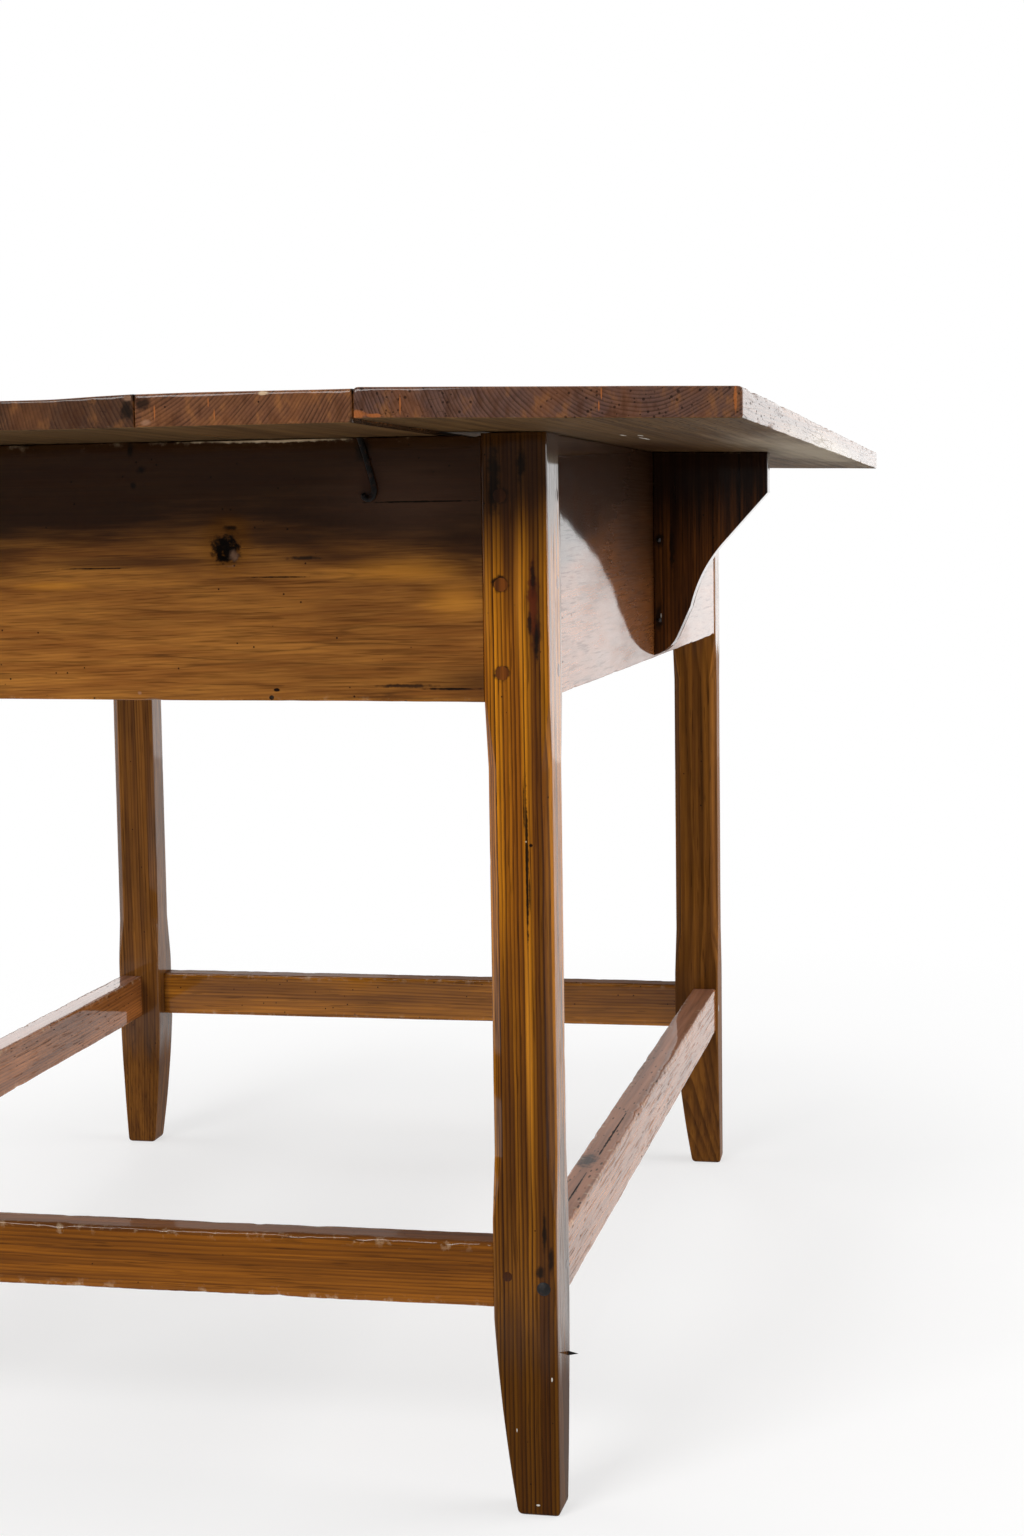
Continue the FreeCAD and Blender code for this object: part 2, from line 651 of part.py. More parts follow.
def forged_nail(label):
    """The nail in the end face of a leg, with a domed head: its Z points into the wood."""
    body = new_body(label)
    section = [
        ("0", "-stud_head_depth"),
        ("stud_head / 2", "0"),
        ("stud_shank / 2", "0"),
        ("stud_shank / 2", "stud_length"),
        ("0", "stud_length"),
    ]
    dome = "(stud_head ^ 2 / 4 + stud_head_depth ^ 2) / (2 * stud_head_depth)"
    turned(body, "half_section", section, {0: (dome, -1)})
    place(body, f"{HALF_WIDTH} - stud_inset", f"-{HALF_LENGTH}", "stud_height", turn=90, laid=90)
    return body


def nail_point(label):
    """The point of a nail that has come through a leg's outer side."""
    body = new_body(label)
    section = [
        ("0", "-point_root"),
        ("point_diameter / 2", "-point_root"),
        ("point_diameter / 2", "0"),
        ("0", "point_length"),
    ]
    turned(body, "half_section", section)
    place(body, HALF_WIDTH, f"-{HALF_LENGTH} + point_inset", "point_height", laid=90)
    return body


def iron_hook(label):
    """A bent iron hook against the near apron, hanging from the top boards."""
    body = new_body(label)
    start = "-hook_clearance"
    low = f"({start} - hook_stem)"
    foot = f"({low} - hook_shank)"
    route = [
        ("0", start),
        ("hook_lean", low),
        ("hook_lean", foot),
        ("hook_lean - hook_bend", f"{foot} - hook_bend"),
        ("hook_lean - 2 * hook_bend", foot),
    ]
    bow = "(hook_stem ^ 2 + hook_lean ^ 2) / (2 * hook_lean)"
    bends = {0: (bow, 1), 2: ("hook_bend", 1), 3: ("hook_bend", 1)}
    path = outline(body, "route", "XZ_Plane", route, bends, closed=False)
    ring = rounds(body, "wire", "XY_Plane", [("0", "0")], "hook_wire", lift=start)
    pipe = body.newObject("PartDesign::AdditivePipe", "hook_pipe")
    pipe.Profile = ring
    pipe.Spine = path
    pipe.Transition = "Round corner"
    place(body, "hook_place", f"-{HALF_LENGTH} + apron_setback - hook_wire / 2 - hook_clearance",
          BOARD_SEAT)
    return body


# ---------------------------------------------------------------- the table

ENDS = (("front", -1), ("rear", 1))
FLANKS = (("right", 1), ("left", -1))

nodes = []
for end, along in ENDS:
    for flank, across in FLANKS:
        ironwork = (end, flank) == ("front", "right")
        nodes.append(make_leg(f"leg_{end}_{flank}", across, along, ironwork))

for end, along in ENDS:
    height = "(apron_height - end_apron_drop)"
    apron = make_rail(f"apron_{end}", "apron", "base_width", height, apron_peg_heights("0"))
    nail_holes(apron, end_apron_nails(), height, "(board_thickness - centre_hollow)")
    place_rail(apron, "apron", APRON_RISE, 0, along)
    nodes.append(apron)

for flank, across in FLANKS:
    blank = make_rail(f"apron_{flank}_blank", "apron", "base_length", "apron_height",
                      apron_peg_heights("0"))
    nail_holes(blank, SIDE_NAILS, "apron_height", "edge_board_thickness")
    place_rail(blank, "apron", APRON_RISE, across, 0)
    nodes.append(drilled(f"apron_{flank}", blank, across))

for end, along in ENDS:
    stretcher = make_rail(f"stretcher_{end}", "stretcher", "base_width", "stretcher_height",
                          ["stretcher_height / 2"])
    place_rail(stretcher, "stretcher", "stretcher_rise", 0, along)
    nodes.append(stretcher)
for flank, across in FLANKS:
    stretcher = make_rail(f"stretcher_{flank}", "stretcher", "base_length", "stretcher_height",
                          ["stretcher_height / 2"])
    place_rail(stretcher, "stretcher", "stretcher_rise", across, 0)
    nodes.append(stretcher)

for flank, across in FLANKS:
    blank = bracket_blank(f"bracket_{flank}_blank")
    facing = math.degrees(math.atan2(0, across))
    place(blank, f"{across} * {BRACKET_FACE}", "bracket_offset", "base_height", turn=facing)
    nodes.append(drilled(f"bracket_{flank}", blank, across))
    nodes.append(edge_board(f"top_board_{flank}_edge", across))
    nodes.append(second_board(f"top_board_{flank}_second", across))
nodes.append(centre_board("top_board_centre"))

apron_peg = peg("apron_peg_pattern", "apron_peg")
stretcher_peg = peg("stretcher_peg_pattern", "stretcher_peg")
apron_heights = apron_peg_heights(APRON_RISE)
stretcher_heights = [STRETCHER_PEG_HEIGHT]
peg_groups = {
    "apron_end_pegs": (apron_peg, end_face_places("apron", apron_heights)),
    "apron_side_pegs": (apron_peg, side_face_places("apron", apron_heights)),
    "stretcher_end_pegs": (stretcher_peg, end_face_places("stretcher", stretcher_heights)),
    "stretcher_side_pegs": (stretcher_peg, side_face_places("stretcher", stretcher_heights)),
}
for label, (pattern, places) in peg_groups.items():
    nodes.append(copies(label, pattern, places, laid=90))

nodes.append(copies("top_nails", top_nail("top_nail_pattern"), top_nail_places()))
slant_nails = doc.addObject("Part::Compound", "bracket_nails")
slant_nails.Label = "bracket_nails"
slant_nails.Links = [slant_nail(f"bracket_nail_{side}_{drop}", side, drop, "bracket_nail")
                     for side in SIDES for drop in BRACKET_NAIL_DROPS]
nodes.append(slant_nails)
nodes.append(forged_nail("leg_forged_nail"))
nodes.append(nail_point("leg_nail_point"))
nodes.append(iron_hook("apron_iron_hook"))

doc.recompute()

# ---------------------------------------------------------------- checks and export

for item in doc.Objects:
    if "Invalid" in item.State or "Error" in item.State:
        raise RuntimeError(f"{item.Label} failed: {item.State}")
    if item.TypeId == "PartDesign::Pocket":
        removed = item.BaseFeature.Shape.Volume - item.Shape.Volume
        if removed < 1e-3:
            raise RuntimeError(f"{item.Label} cuts nothing")

os.makedirs("parts", exist_ok=True)
for node in nodes:
    shape = node.Shape
    if shape.isNull() or not shape.isValid():
        raise RuntimeError(f"{node.Label} has no valid shape")
    shape.exportStep(f"parts/{node.Label}.step")
    print(node.Label, len(shape.Solids), "solids", round(shape.Volume / 1000, 2), "cm3")
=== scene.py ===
import math
from itertools import product

import bpy
import numpy as np
from mathutils import Matrix, Vector


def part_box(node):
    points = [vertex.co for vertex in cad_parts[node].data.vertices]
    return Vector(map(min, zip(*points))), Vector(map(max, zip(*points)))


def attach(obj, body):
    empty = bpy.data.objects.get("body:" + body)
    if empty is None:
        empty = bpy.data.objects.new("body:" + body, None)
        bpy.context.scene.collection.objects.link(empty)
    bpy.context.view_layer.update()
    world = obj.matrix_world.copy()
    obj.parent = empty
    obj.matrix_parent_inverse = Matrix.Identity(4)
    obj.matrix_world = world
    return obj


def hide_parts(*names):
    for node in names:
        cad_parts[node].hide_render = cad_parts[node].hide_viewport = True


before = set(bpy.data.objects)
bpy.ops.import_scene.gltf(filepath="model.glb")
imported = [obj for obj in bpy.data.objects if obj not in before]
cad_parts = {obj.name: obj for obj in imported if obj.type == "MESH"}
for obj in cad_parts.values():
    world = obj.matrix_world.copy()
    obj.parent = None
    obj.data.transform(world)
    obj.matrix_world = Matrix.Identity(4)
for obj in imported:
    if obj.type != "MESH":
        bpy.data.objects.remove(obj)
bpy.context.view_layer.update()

MM = 0.001


def extent(node):
    """Lowest and highest corner of a CAD node, in metres."""
    return np.array(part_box(node))


# ---------------- the table's sizes, from the frame

LEG_LOW, LEG_HIGH = extent("leg_front_right")
LEG = LEG_HIGH[0] - LEG_LOW[0]
BASE = np.array([LEG_HIGH[0], -LEG_LOW[1]])
BASE_TOP = LEG_HIGH[2]
APRON_LOW = extent("apron_right")[0][2]
STRETCHER_HIGH = extent("stretcher_right")[1][2]
TOP_END = extent("top_board_centre")[1][1]

# Shapes of the pieces that the frame's boxes don't give.
LEG_RELIEF = 0.8 * MM
LEG_SQUARENESS = 0.7 * MM
RAIL_BOW = 1.0 * MM
CHAMFER = 7 * MM
CHAMFER_RUN = 45 * MM
CHAMFER_LOW = STRETCHER_HIGH + 16 * MM
CHAMFER_HIGH = APRON_LOW - 2 * MM
FOOT_TAPER = 15 * MM
FOOT_TAPER_START = 138 * MM
FOOT_BELLY = 1.8 * MM
SOLE_WEAR = 4 * MM
HOLLOW_SHOULDER = 50 * MM
HOLLOW_DEPTH = 2 * MM
HOLLOW_RUN = 8 * MM
PLANE_WAVE = 110 * MM
ARRIS_REACH = 2.2 * MM
EDGE_BOARD_THICKNESS = 18.3 * MM
EDGE_ROUND_MM = 3
EDGE_BOARD_SLOPE = 5 / 224
HOOK_HALF = 1.75 * MM
HOOK_SIDES = 12
PEG_SIDES = 20
PEG_LENGTH = 24 * MM
PEG_PROUD = 0.06 * MM

# How finely the meshes are made.
ARC_STEPS = 4
RING_STEP = 3 * MM
BOARD_STEP = 4 * MM
BRACKET_STEPS = 14

UP, DOWN = (0, 0, 1), (0, 0, -1)


# ---------------- shaping by hand


def waves(points, seed, length, octaves=3):
    """Smooth noise from -1 to 1 at points (..., 3), with features about this long, in metres."""
    dice = np.random.default_rng(seed)
    total = np.zeros(points.shape[:-1])
    for octave in range(octaves):
        for _ in range(5):
            heading = dice.normal(size=3)
            heading *= 2 ** octave / (length * np.linalg.norm(heading))
            phase = dice.uniform(0, 2 * math.pi)
            total += np.sin(2 * math.pi * (points @ heading) + phase) / 2 ** octave
    return np.clip(total / 4, -1, 1)


def along(places, seed, length):
    """Smooth noise from -1 to 1 on one line."""
    return waves(places[:, None] * (1, 0, 0), seed, length)


def worn(places, seed, base, chips, chip, width):
    """Tangent length of a worn arris along the piece, with a few deeper chips."""
    dice = np.random.default_rng(seed)
    wear = base * (1 + 0.35 * along(places, seed, 45 * MM) + 0.25 * along(places, seed + 1, 9 * MM))
    for _ in range(chips):
        centre = dice.uniform(places.min(), places.max())
        half = width * dice.uniform(0.4, 1.6)
        wear = wear + chip * dice.uniform(0.3, 1.0) * np.exp(-((places - centre) / half) ** 2)
    return np.maximum(wear, 0.15 * MM)


def worn_arrises(places, seed, arrises, chip, width=5 * MM):
    """The wear (M, C) of all arrises, each given as (base in millimetres, number of chips)."""
    return np.stack([worn(places, seed + i, base * MM, chips, chip, width)
                     for i, (base, chips) in enumerate(arrises)], axis=1)


def sections(corners, wear, counts):
    """Rounds each corner of the polygons (M, C, 2) by its wear (M, C).

    counts says how many points stand on the side after each corner. Gives the points
    (M, N, 2) and how near each lies to an arris, 0 to 1."""
    before = np.roll(corners, 1, axis=1) - corners
    after = np.roll(corners, -1, axis=1) - corners
    reach_before = np.linalg.norm(before, axis=2)
    reach_after = np.linalg.norm(after, axis=2)
    cut = np.minimum(wear, 0.45 * np.minimum(reach_before, reach_after))
    start = corners + before * (cut / reach_before)[..., None]
    end = corners + after * (cut / reach_after)[..., None]
    points, near = [], []
    for index, count in enumerate(counts):
        for step in range(ARC_STEPS + 1):
            t = step / ARC_STEPS
            points.append((1 - t) ** 2 * start[:, index] + 2 * t * (1 - t) * corners[:, index]
                          + t ** 2 * end[:, index])
            near.append(np.ones(len(corners)))
        following = start[:, (index + 1) % corners.shape[1]]
        for step in range(1, count + 1):
            t = step / (count + 1)
            points.append((1 - t) * end[:, index] + t * following)
            distance = min(t, 1 - t) * np.linalg.norm(following - end[:, index], axis=1)
            near.append(np.exp(-(distance / ARRIS_REACH) ** 2))
    return np.stack(points, axis=1), np.stack(near, axis=1)


def middles(points):
    """The middle and half extents of each section, as (M, 1, 2)."""
    low, high = points[..., :2].min(axis=1), points[..., :2].max(axis=1)
    return ((low + high) / 2)[:, None], ((high - low) / 2)[:, None]


def drawn_in(points, inset):
    """Draws each section in towards its middle, by the inset (M,) or (M, N) on every side."""
    inset = inset.reshape(len(points), -1, 1)
    middle, half = middles(points)
    return middle + (points - middle) * (1 - inset / half)


def ring_places(low, high, step, first, last):
    """Even places from low to high, with rings that round the ends, and each ring's inset."""
    places = np.linspace(low, high, max(2, int(round((high - low) / step)) + 1))
    steps = np.linspace(0, 1, 5)
    start = places[0] + first * steps ** 2
    finish = places[-1] - last * steps[::-1] ** 2
    middle = places[(places > start[-1] + 0.2 * MM) & (places < finish[0] - 0.2 * MM)]
    inset = np.concatenate([first * (1 - steps) ** 2, np.zeros(len(middle)),
                            last * (1 - steps[::-1]) ** 2])
    return np.concatenate([start, middle, finish]), inset


def stacked(points, places):
    """The sections (M, N, 2) with their places along the piece as third coordinate."""
    return np.dstack([points, np.repeat(places[:, None], points.shape[1], axis=1)])


def new_mesh(name, points, faces, material):
    mesh = bpy.data.meshes.new(name)
    mesh.from_pydata(points, [], faces)
    mesh.update()
    mesh.materials.append(material)
    return mesh


def add_object(name, data):
    made = bpy.data.objects.new(name, data)
    bpy.context.scene.collection.objects.link(made)
    return made


def stand_for(piece, node):
    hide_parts(node)
    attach(piece, "root")


def mesh_piece(node, rings, near, material, flip=False, hub=None, made="wood"):
    """A closed mesh through the rings (M, N, 3), with a flat face over each end, for a node.

    near (M, N) says how close each point is to an arris, and flip turns the rings' direction.
    Where hub (2, 3) is given, the end faces are fans of triangles round its two points, for
    an outline with hollows."""
    name = f"{node}_{made}"
    if flip:
        rings, near = rings[:, ::-1], near[:, ::-1]
    count, around = rings.shape[:2]
    index = np.arange(count * around).reshape(count, around)
    following = np.roll(index, -1, axis=1)
    quads = np.stack([index[:-1], following[:-1], following[1:], index[1:]], axis=-1)
    sides = quads.reshape(-1, 4).tolist()
    points = rings.reshape(-1, 3)
    if hub is None:
        caps = [index[0][::-1].tolist(), index[-1].tolist()]
    else:
        points = np.concatenate([points, hub])
        first, last = np.stack([index, following], axis=-1)[[0, -1]].tolist()
        caps = [[b, a, count * around] for a, b in first]
        caps += [[a, b, count * around + 1] for a, b in last]
    mesh = new_mesh(name, points.tolist(), sides + caps, material)
    wear = near.reshape(-1)[np.array(sides).reshape(-1)]
    flat = np.zeros(len(mesh.loops) - len(wear))
    arris = mesh.attributes.new("arris", "FLOAT", "CORNER")
    arris.data.foreach_set("value", np.concatenate([wear, flat]).astype(np.float32))
    mesh.set_sharp_from_angle(angle=math.radians(38))
    mesh.polygons.foreach_set("use_smooth", [True] * len(sides) + [False] * len(caps))
    stand_for(add_object(name, mesh), node)


def planed(solid, seed, depths):
    """Sinks the faces by a hand plane's shallow waves; the third coordinate runs lengthwise."""
    middle, half = middles(solid)
    reach = (solid[..., :2] - middle) / half
    flat = solid.copy()
    for axis, depth in enumerate(depths):
        place = solid.copy()
        place[..., axis] = 0
        faces = [0.5 + 0.5 * waves(place, seed + 3 * axis + side, PLANE_WAVE, 2) for side in (0, 1)]
        share = (1 + reach[..., axis]) / 2
        sunk = depth * ((1 - share) * faces[0] + share * faces[1])
        flat[..., axis] = middle[..., axis] + reach[..., axis] * (half[..., axis] - sunk)
    return flat


# ---------------- node helpers


def srgb(red, green, blue):
    """Linear colour of an sRGB colour given from 0 to 255."""
    levels = [value / 255 for value in (red, green, blue)]
    return [v / 12.92 if v <= 0.04045 else ((v + 0.055) / 1.055) ** 2.4 for v in levels] + [1.0]


class Graph:
    """Short ways to add the shader nodes of one material."""

    def __init__(self, tree):
        self.tree = tree
        tree.nodes.clear()

    def node(self, kind, inputs=None, **settings):
        made = self.tree.nodes.new("ShaderNode" + kind)
        for key, value in settings.items():
            setattr(made, key, value)
        for key, value in (inputs or {}).items():
            self.feed(made.inputs[key], value)
        return made

    def feed(self, socket, value):
        if isinstance(value, bpy.types.NodeSocket):
            self.tree.links.new(value, socket)
        else:
            socket.default_value = value

    def math(self, operation, first, second=0.0, third=0.0, clamp=False):
        made = self.node("Math", {0: first, 1: second, 2: third}, operation=operation)
        made.use_clamp = clamp
        return made.outputs[0]

    def times(self, first, second, clamp=False):
        return self.math("MULTIPLY", first, second, clamp=clamp)

    def plus(self, first, share, base):
        """first times share, plus base."""
        return self.math("MULTIPLY_ADD", first, share, base)

    def most(self, first, second):
        return self.math("MAXIMUM", first, second)

    def centred(self, noise):
        return self.math("SUBTRACT", noise, 0.5)

    def parts(self, vector):
        return self.node("SeparateXYZ", {0: vector}).outputs

    def vector(self, operation, first, second=(0, 0, 0)):
        made = self.node("VectorMath", {0: first, 1: second}, operation=operation)
        return made.outputs["Value" if operation in ("LENGTH", "DOT_PRODUCT") else "Vector"]

    def scaled(self, vector, x, y, z):
        return self.vector("MULTIPLY", vector, (x, y, z))

    def noise(self, place, scales, detail=2.0, roughness=0.5, output="Fac"):
        """Noise at this scale, or at one scale each along X, Y and Z."""
        scales = scales if isinstance(scales, tuple) else (scales,) * 3
        made = self.node("TexNoise", {"Vector": self.scaled(place, *scales), "Scale": 1.0,
                                      "Detail": detail, "Roughness": roughness})
        return made.outputs[output]

    def fit(self, value, low, high, to_low=0.0, to_high=1.0, kind="LINEAR"):
        made = self.node("MapRange", {0: value, 1: low, 2: high, 3: to_low, 4: to_high})
        made.interpolation_type = kind
        return made.outputs[0]

    def ease(self, value, low, high, to_low=0.0, to_high=1.0):
        return self.fit(value, low, high, to_low, to_high, "SMOOTHSTEP")

    def mix(self, factor, first, second, blend="MIX"):
        made = self.node("Mix", data_type="RGBA", blend_type=blend)
        for socket, value in zip((made.inputs[0], made.inputs[6], made.inputs[7]),
                                 (factor, first, second)):
            self.feed(socket, value)
        return made.outputs[2]

    def curve(self, value, stops):
        made = self.node("ValToRGB", {0: value})
        ramp = made.color_ramp
        while len(ramp.elements) < len(stops):
            ramp.elements.new(0.5)
        for element, (place, level) in zip(ramp.elements, stops):
            element.position = place
            element.color = (level, level, level, 1)
        return made.outputs[0]


# ---------------- old pine

GRAIN_ORDER = {"X": (1, 2, 0), "Y": (2, 0, 1), "Z": (0, 1, 2)}
TONES = ("light", "body", "late", "heart", "grime", "end", "bare")

# The tones are sRGB colours from 0 to 255; the dark heartwood tone also serves as painted shade.
# bands are the streaks' scale across and along the grain. raw (direction, colour, gloss lost) and
# satin (direction, gloss lost) change the faces that look that way, worn_below (heights) takes
# the gloss off the foot, and each of the fades is (direction, start, end, amount): painted shade
# towards the heartwood tone, under the top with some grime there, and towards the floor.
ALL_PINE = dict(
    light=(182, 114, 30), body=(134, 78, 20), late=(52, 26, 8), heart=(62, 30, 11),
    grime=(22, 15, 10), end=(92, 60, 46), bare=(205, 182, 150),
    spacing=2.5 * MM, contrast=0.8, waviness=5 * MM, tilt=(0.0, 0.0),
    bands=(150, 2.6), hairs=0.25, patches=0.45, worms=0.25, pits=0.0, checks=0.5, scars=0.12,
    coat=0.9, ripple=0.3, broken=0.3, raw=None, satin=None, worn_below=None,
    fades=(), marks=(),
)
RING_PROFILE = [(0.0, 0.0), (0.3, 0.05), (0.52, 0.35), (0.70, 0.9), (0.92, 1.0), (0.97, 0.2),
                (1.0, 0.0)]

# The kinds of local marks: colour, strength, depth of the dent, the share of the gloss it takes
# and how far from the middle its soft edge starts.
MARK_KINDS = {
    "stain": ((16, 11, 7), 0.85, 0.1, 0.3, 0.35),
    "hole": ((9, 7, 6), 0.97, 1.5, 1.0, 0.75),
    "crack": ((16, 13, 8), 0.95, 1.0, 1.0, 0.6),
    "bare": ((196, 172, 140), 0.7, 0.3, 0.8, 0.5),
    "chip": ((150, 86, 42), 0.7, 0.5, 0.8, 0.6),
    "torn": ((140, 106, 84), 0.55, 0.5, 1.0, 0.2),
    "red": ((90, 36, 12), 0.75, 0.0, 0.0, 0.2),
    "fleck": ((222, 218, 208), 0.85, 0.0, 0.8, 0.7),
    "glow": ((204, 134, 42), 0.4, 0.0, 0.0, 0.0),
    "shade": ((46, 22, 8), 0.7, 0.0, 0.0, 0.0),
    "haze": ((92, 66, 52), 0.3, 0.0, 0.1, 0.0),
    # A pale tone for painted sheen.
    "dust_and_sheen": ((172, 160, 138), 0.75, 0.0, 0.0, 0.0),
    # Dark and without gloss, for painted shade.
    "dim": ((34, 18, 7), 0.9, 0.0, 0.85, 0.1),
    "matt": ((96, 60, 28), 0.2, 0.0, 1.0, 0.5),
}
# These have no ragged edge: they follow the wood's own drifts of colour.
SMOOTH_KINDS = ("glow", "shade", "haze", "dust_and_sheen", "dim", "matt")


def blank_material(name):
    """A new material, the Graph of its nodes and the place in the table."""
    material = bpy.data.materials.new(name)
    material.use_nodes = True
    g = Graph(material.node_tree)
    return material, g, g.node("TexCoord").outputs["Object"]


def along_grain(g, place, axis):
    """The place with its third coordinate along the grain."""
    split = g.parts(place)
    order = GRAIN_ORDER[axis]
    return g.node("CombineXYZ", {i: split[order[i]] for i in range(3)}).outputs[0]


def growth_rings(g, grain, offset, look, pith):
    """How far into the dark latewood of its ring a place is, 0 to 1."""
    middle = (0.5, 0.5, 0.5)
    wander = g.noise(offset, (9, 9, 1.3), 1.5, output="Color")
    wander = g.vector("SUBTRACT", wander, middle)
    ripple = g.noise(offset, (60, 60, 14), 1.0, output="Color")
    ripple = g.vector("SUBTRACT", ripple, middle)
    wide, fine = look["waviness"] * 4, 1.6 * MM
    moved = g.vector("ADD", grain, g.scaled(wander, wide, wide, 0))
    moved = g.vector("ADD", moved, g.scaled(ripple, fine, fine, 0))
    split = g.parts(moved)
    sides = []
    for side in range(2):
        leaned = g.plus(split[2], look["tilt"][side], split[side])
        sides.append(g.math("SUBTRACT", leaned, pith[side]))
    flat = g.node("CombineXYZ", {0: sides[0], 1: sides[1]}).outputs[0]
    radius = g.vector("LENGTH", flat)
    uneven = g.node("TexNoise", {"W": g.times(radius, 75.0), "Scale": 1.0},
                    noise_dimensions="1D").outputs["Fac"]
    turns = g.math("ADD", g.math("DIVIDE", radius, look["spacing"]), g.times(uneven, 1.3))
    year = g.math("FLOOR", turns)
    strength = g.node("TexWhiteNoise", {"W": year}, noise_dimensions="1D").outputs[0]
    profile = g.curve(g.math("FRACT", turns), RING_PROFILE)
    return g.times(profile, g.fit(strength, 0, 1, 0.45, 1.0))


def spots(g, place, cell, radius, share, seed):
    """Round holes of this radius, in a share of the cells and mostly in clusters."""
    moved = g.vector("ADD", place, (seed, seed * 0.7, seed * 0.3))
    dots = g.node("TexVoronoi", {"Vector": moved, "Scale": 1 / cell})
    pick = g.node("SeparateColor", {0: dots.outputs["Color"]}).outputs
    cluster = g.noise(moved, 11, 1.0)
    chosen = g.math("LESS_THAN", pick[0], g.fit(cluster, 0.42, 0.62, 0.0, share * 2))
    size = g.plus(pick[1], 0.8 * radius / cell, 0.5 * radius / cell)
    disc = g.math("SUBTRACT", 1.0, g.math("DIVIDE", dots.outputs["Distance"], size))
    return g.times(g.fit(disc, 0.0, 0.35), chosen)


def drying_checks(g, offset):
    """Thin dark lines that run with the grain, in some places."""
    across, lengthwise, width, rarity = 62, 2.4, 0.011, 0.56
    fine = g.noise(offset, (across, across, lengthwise), 2.0, 0.6)
    line = g.fit(g.math("ABSOLUTE", g.centred(fine)), 0.0, width, 1, 0)
    places = g.noise(offset, (across / 5, across / 5, lengthwise), 1.0)
    return g.times(line, g.fit(places, rarity, rarity + 0.05))


def blot(g, place, rough, centre, size, soft):
    """A ragged mark: centre and half lengths along X, Y and Z are in millimetres."""
    away = g.vector("SUBTRACT", place, tuple(value * MM for value in centre))
    away = g.scaled(away, *[1 / (value * MM) for value in size])
    distance = g.math("ADD", g.vector("LENGTH", away), rough)
    return g.ease(distance, soft, 1.1, 1, 0)


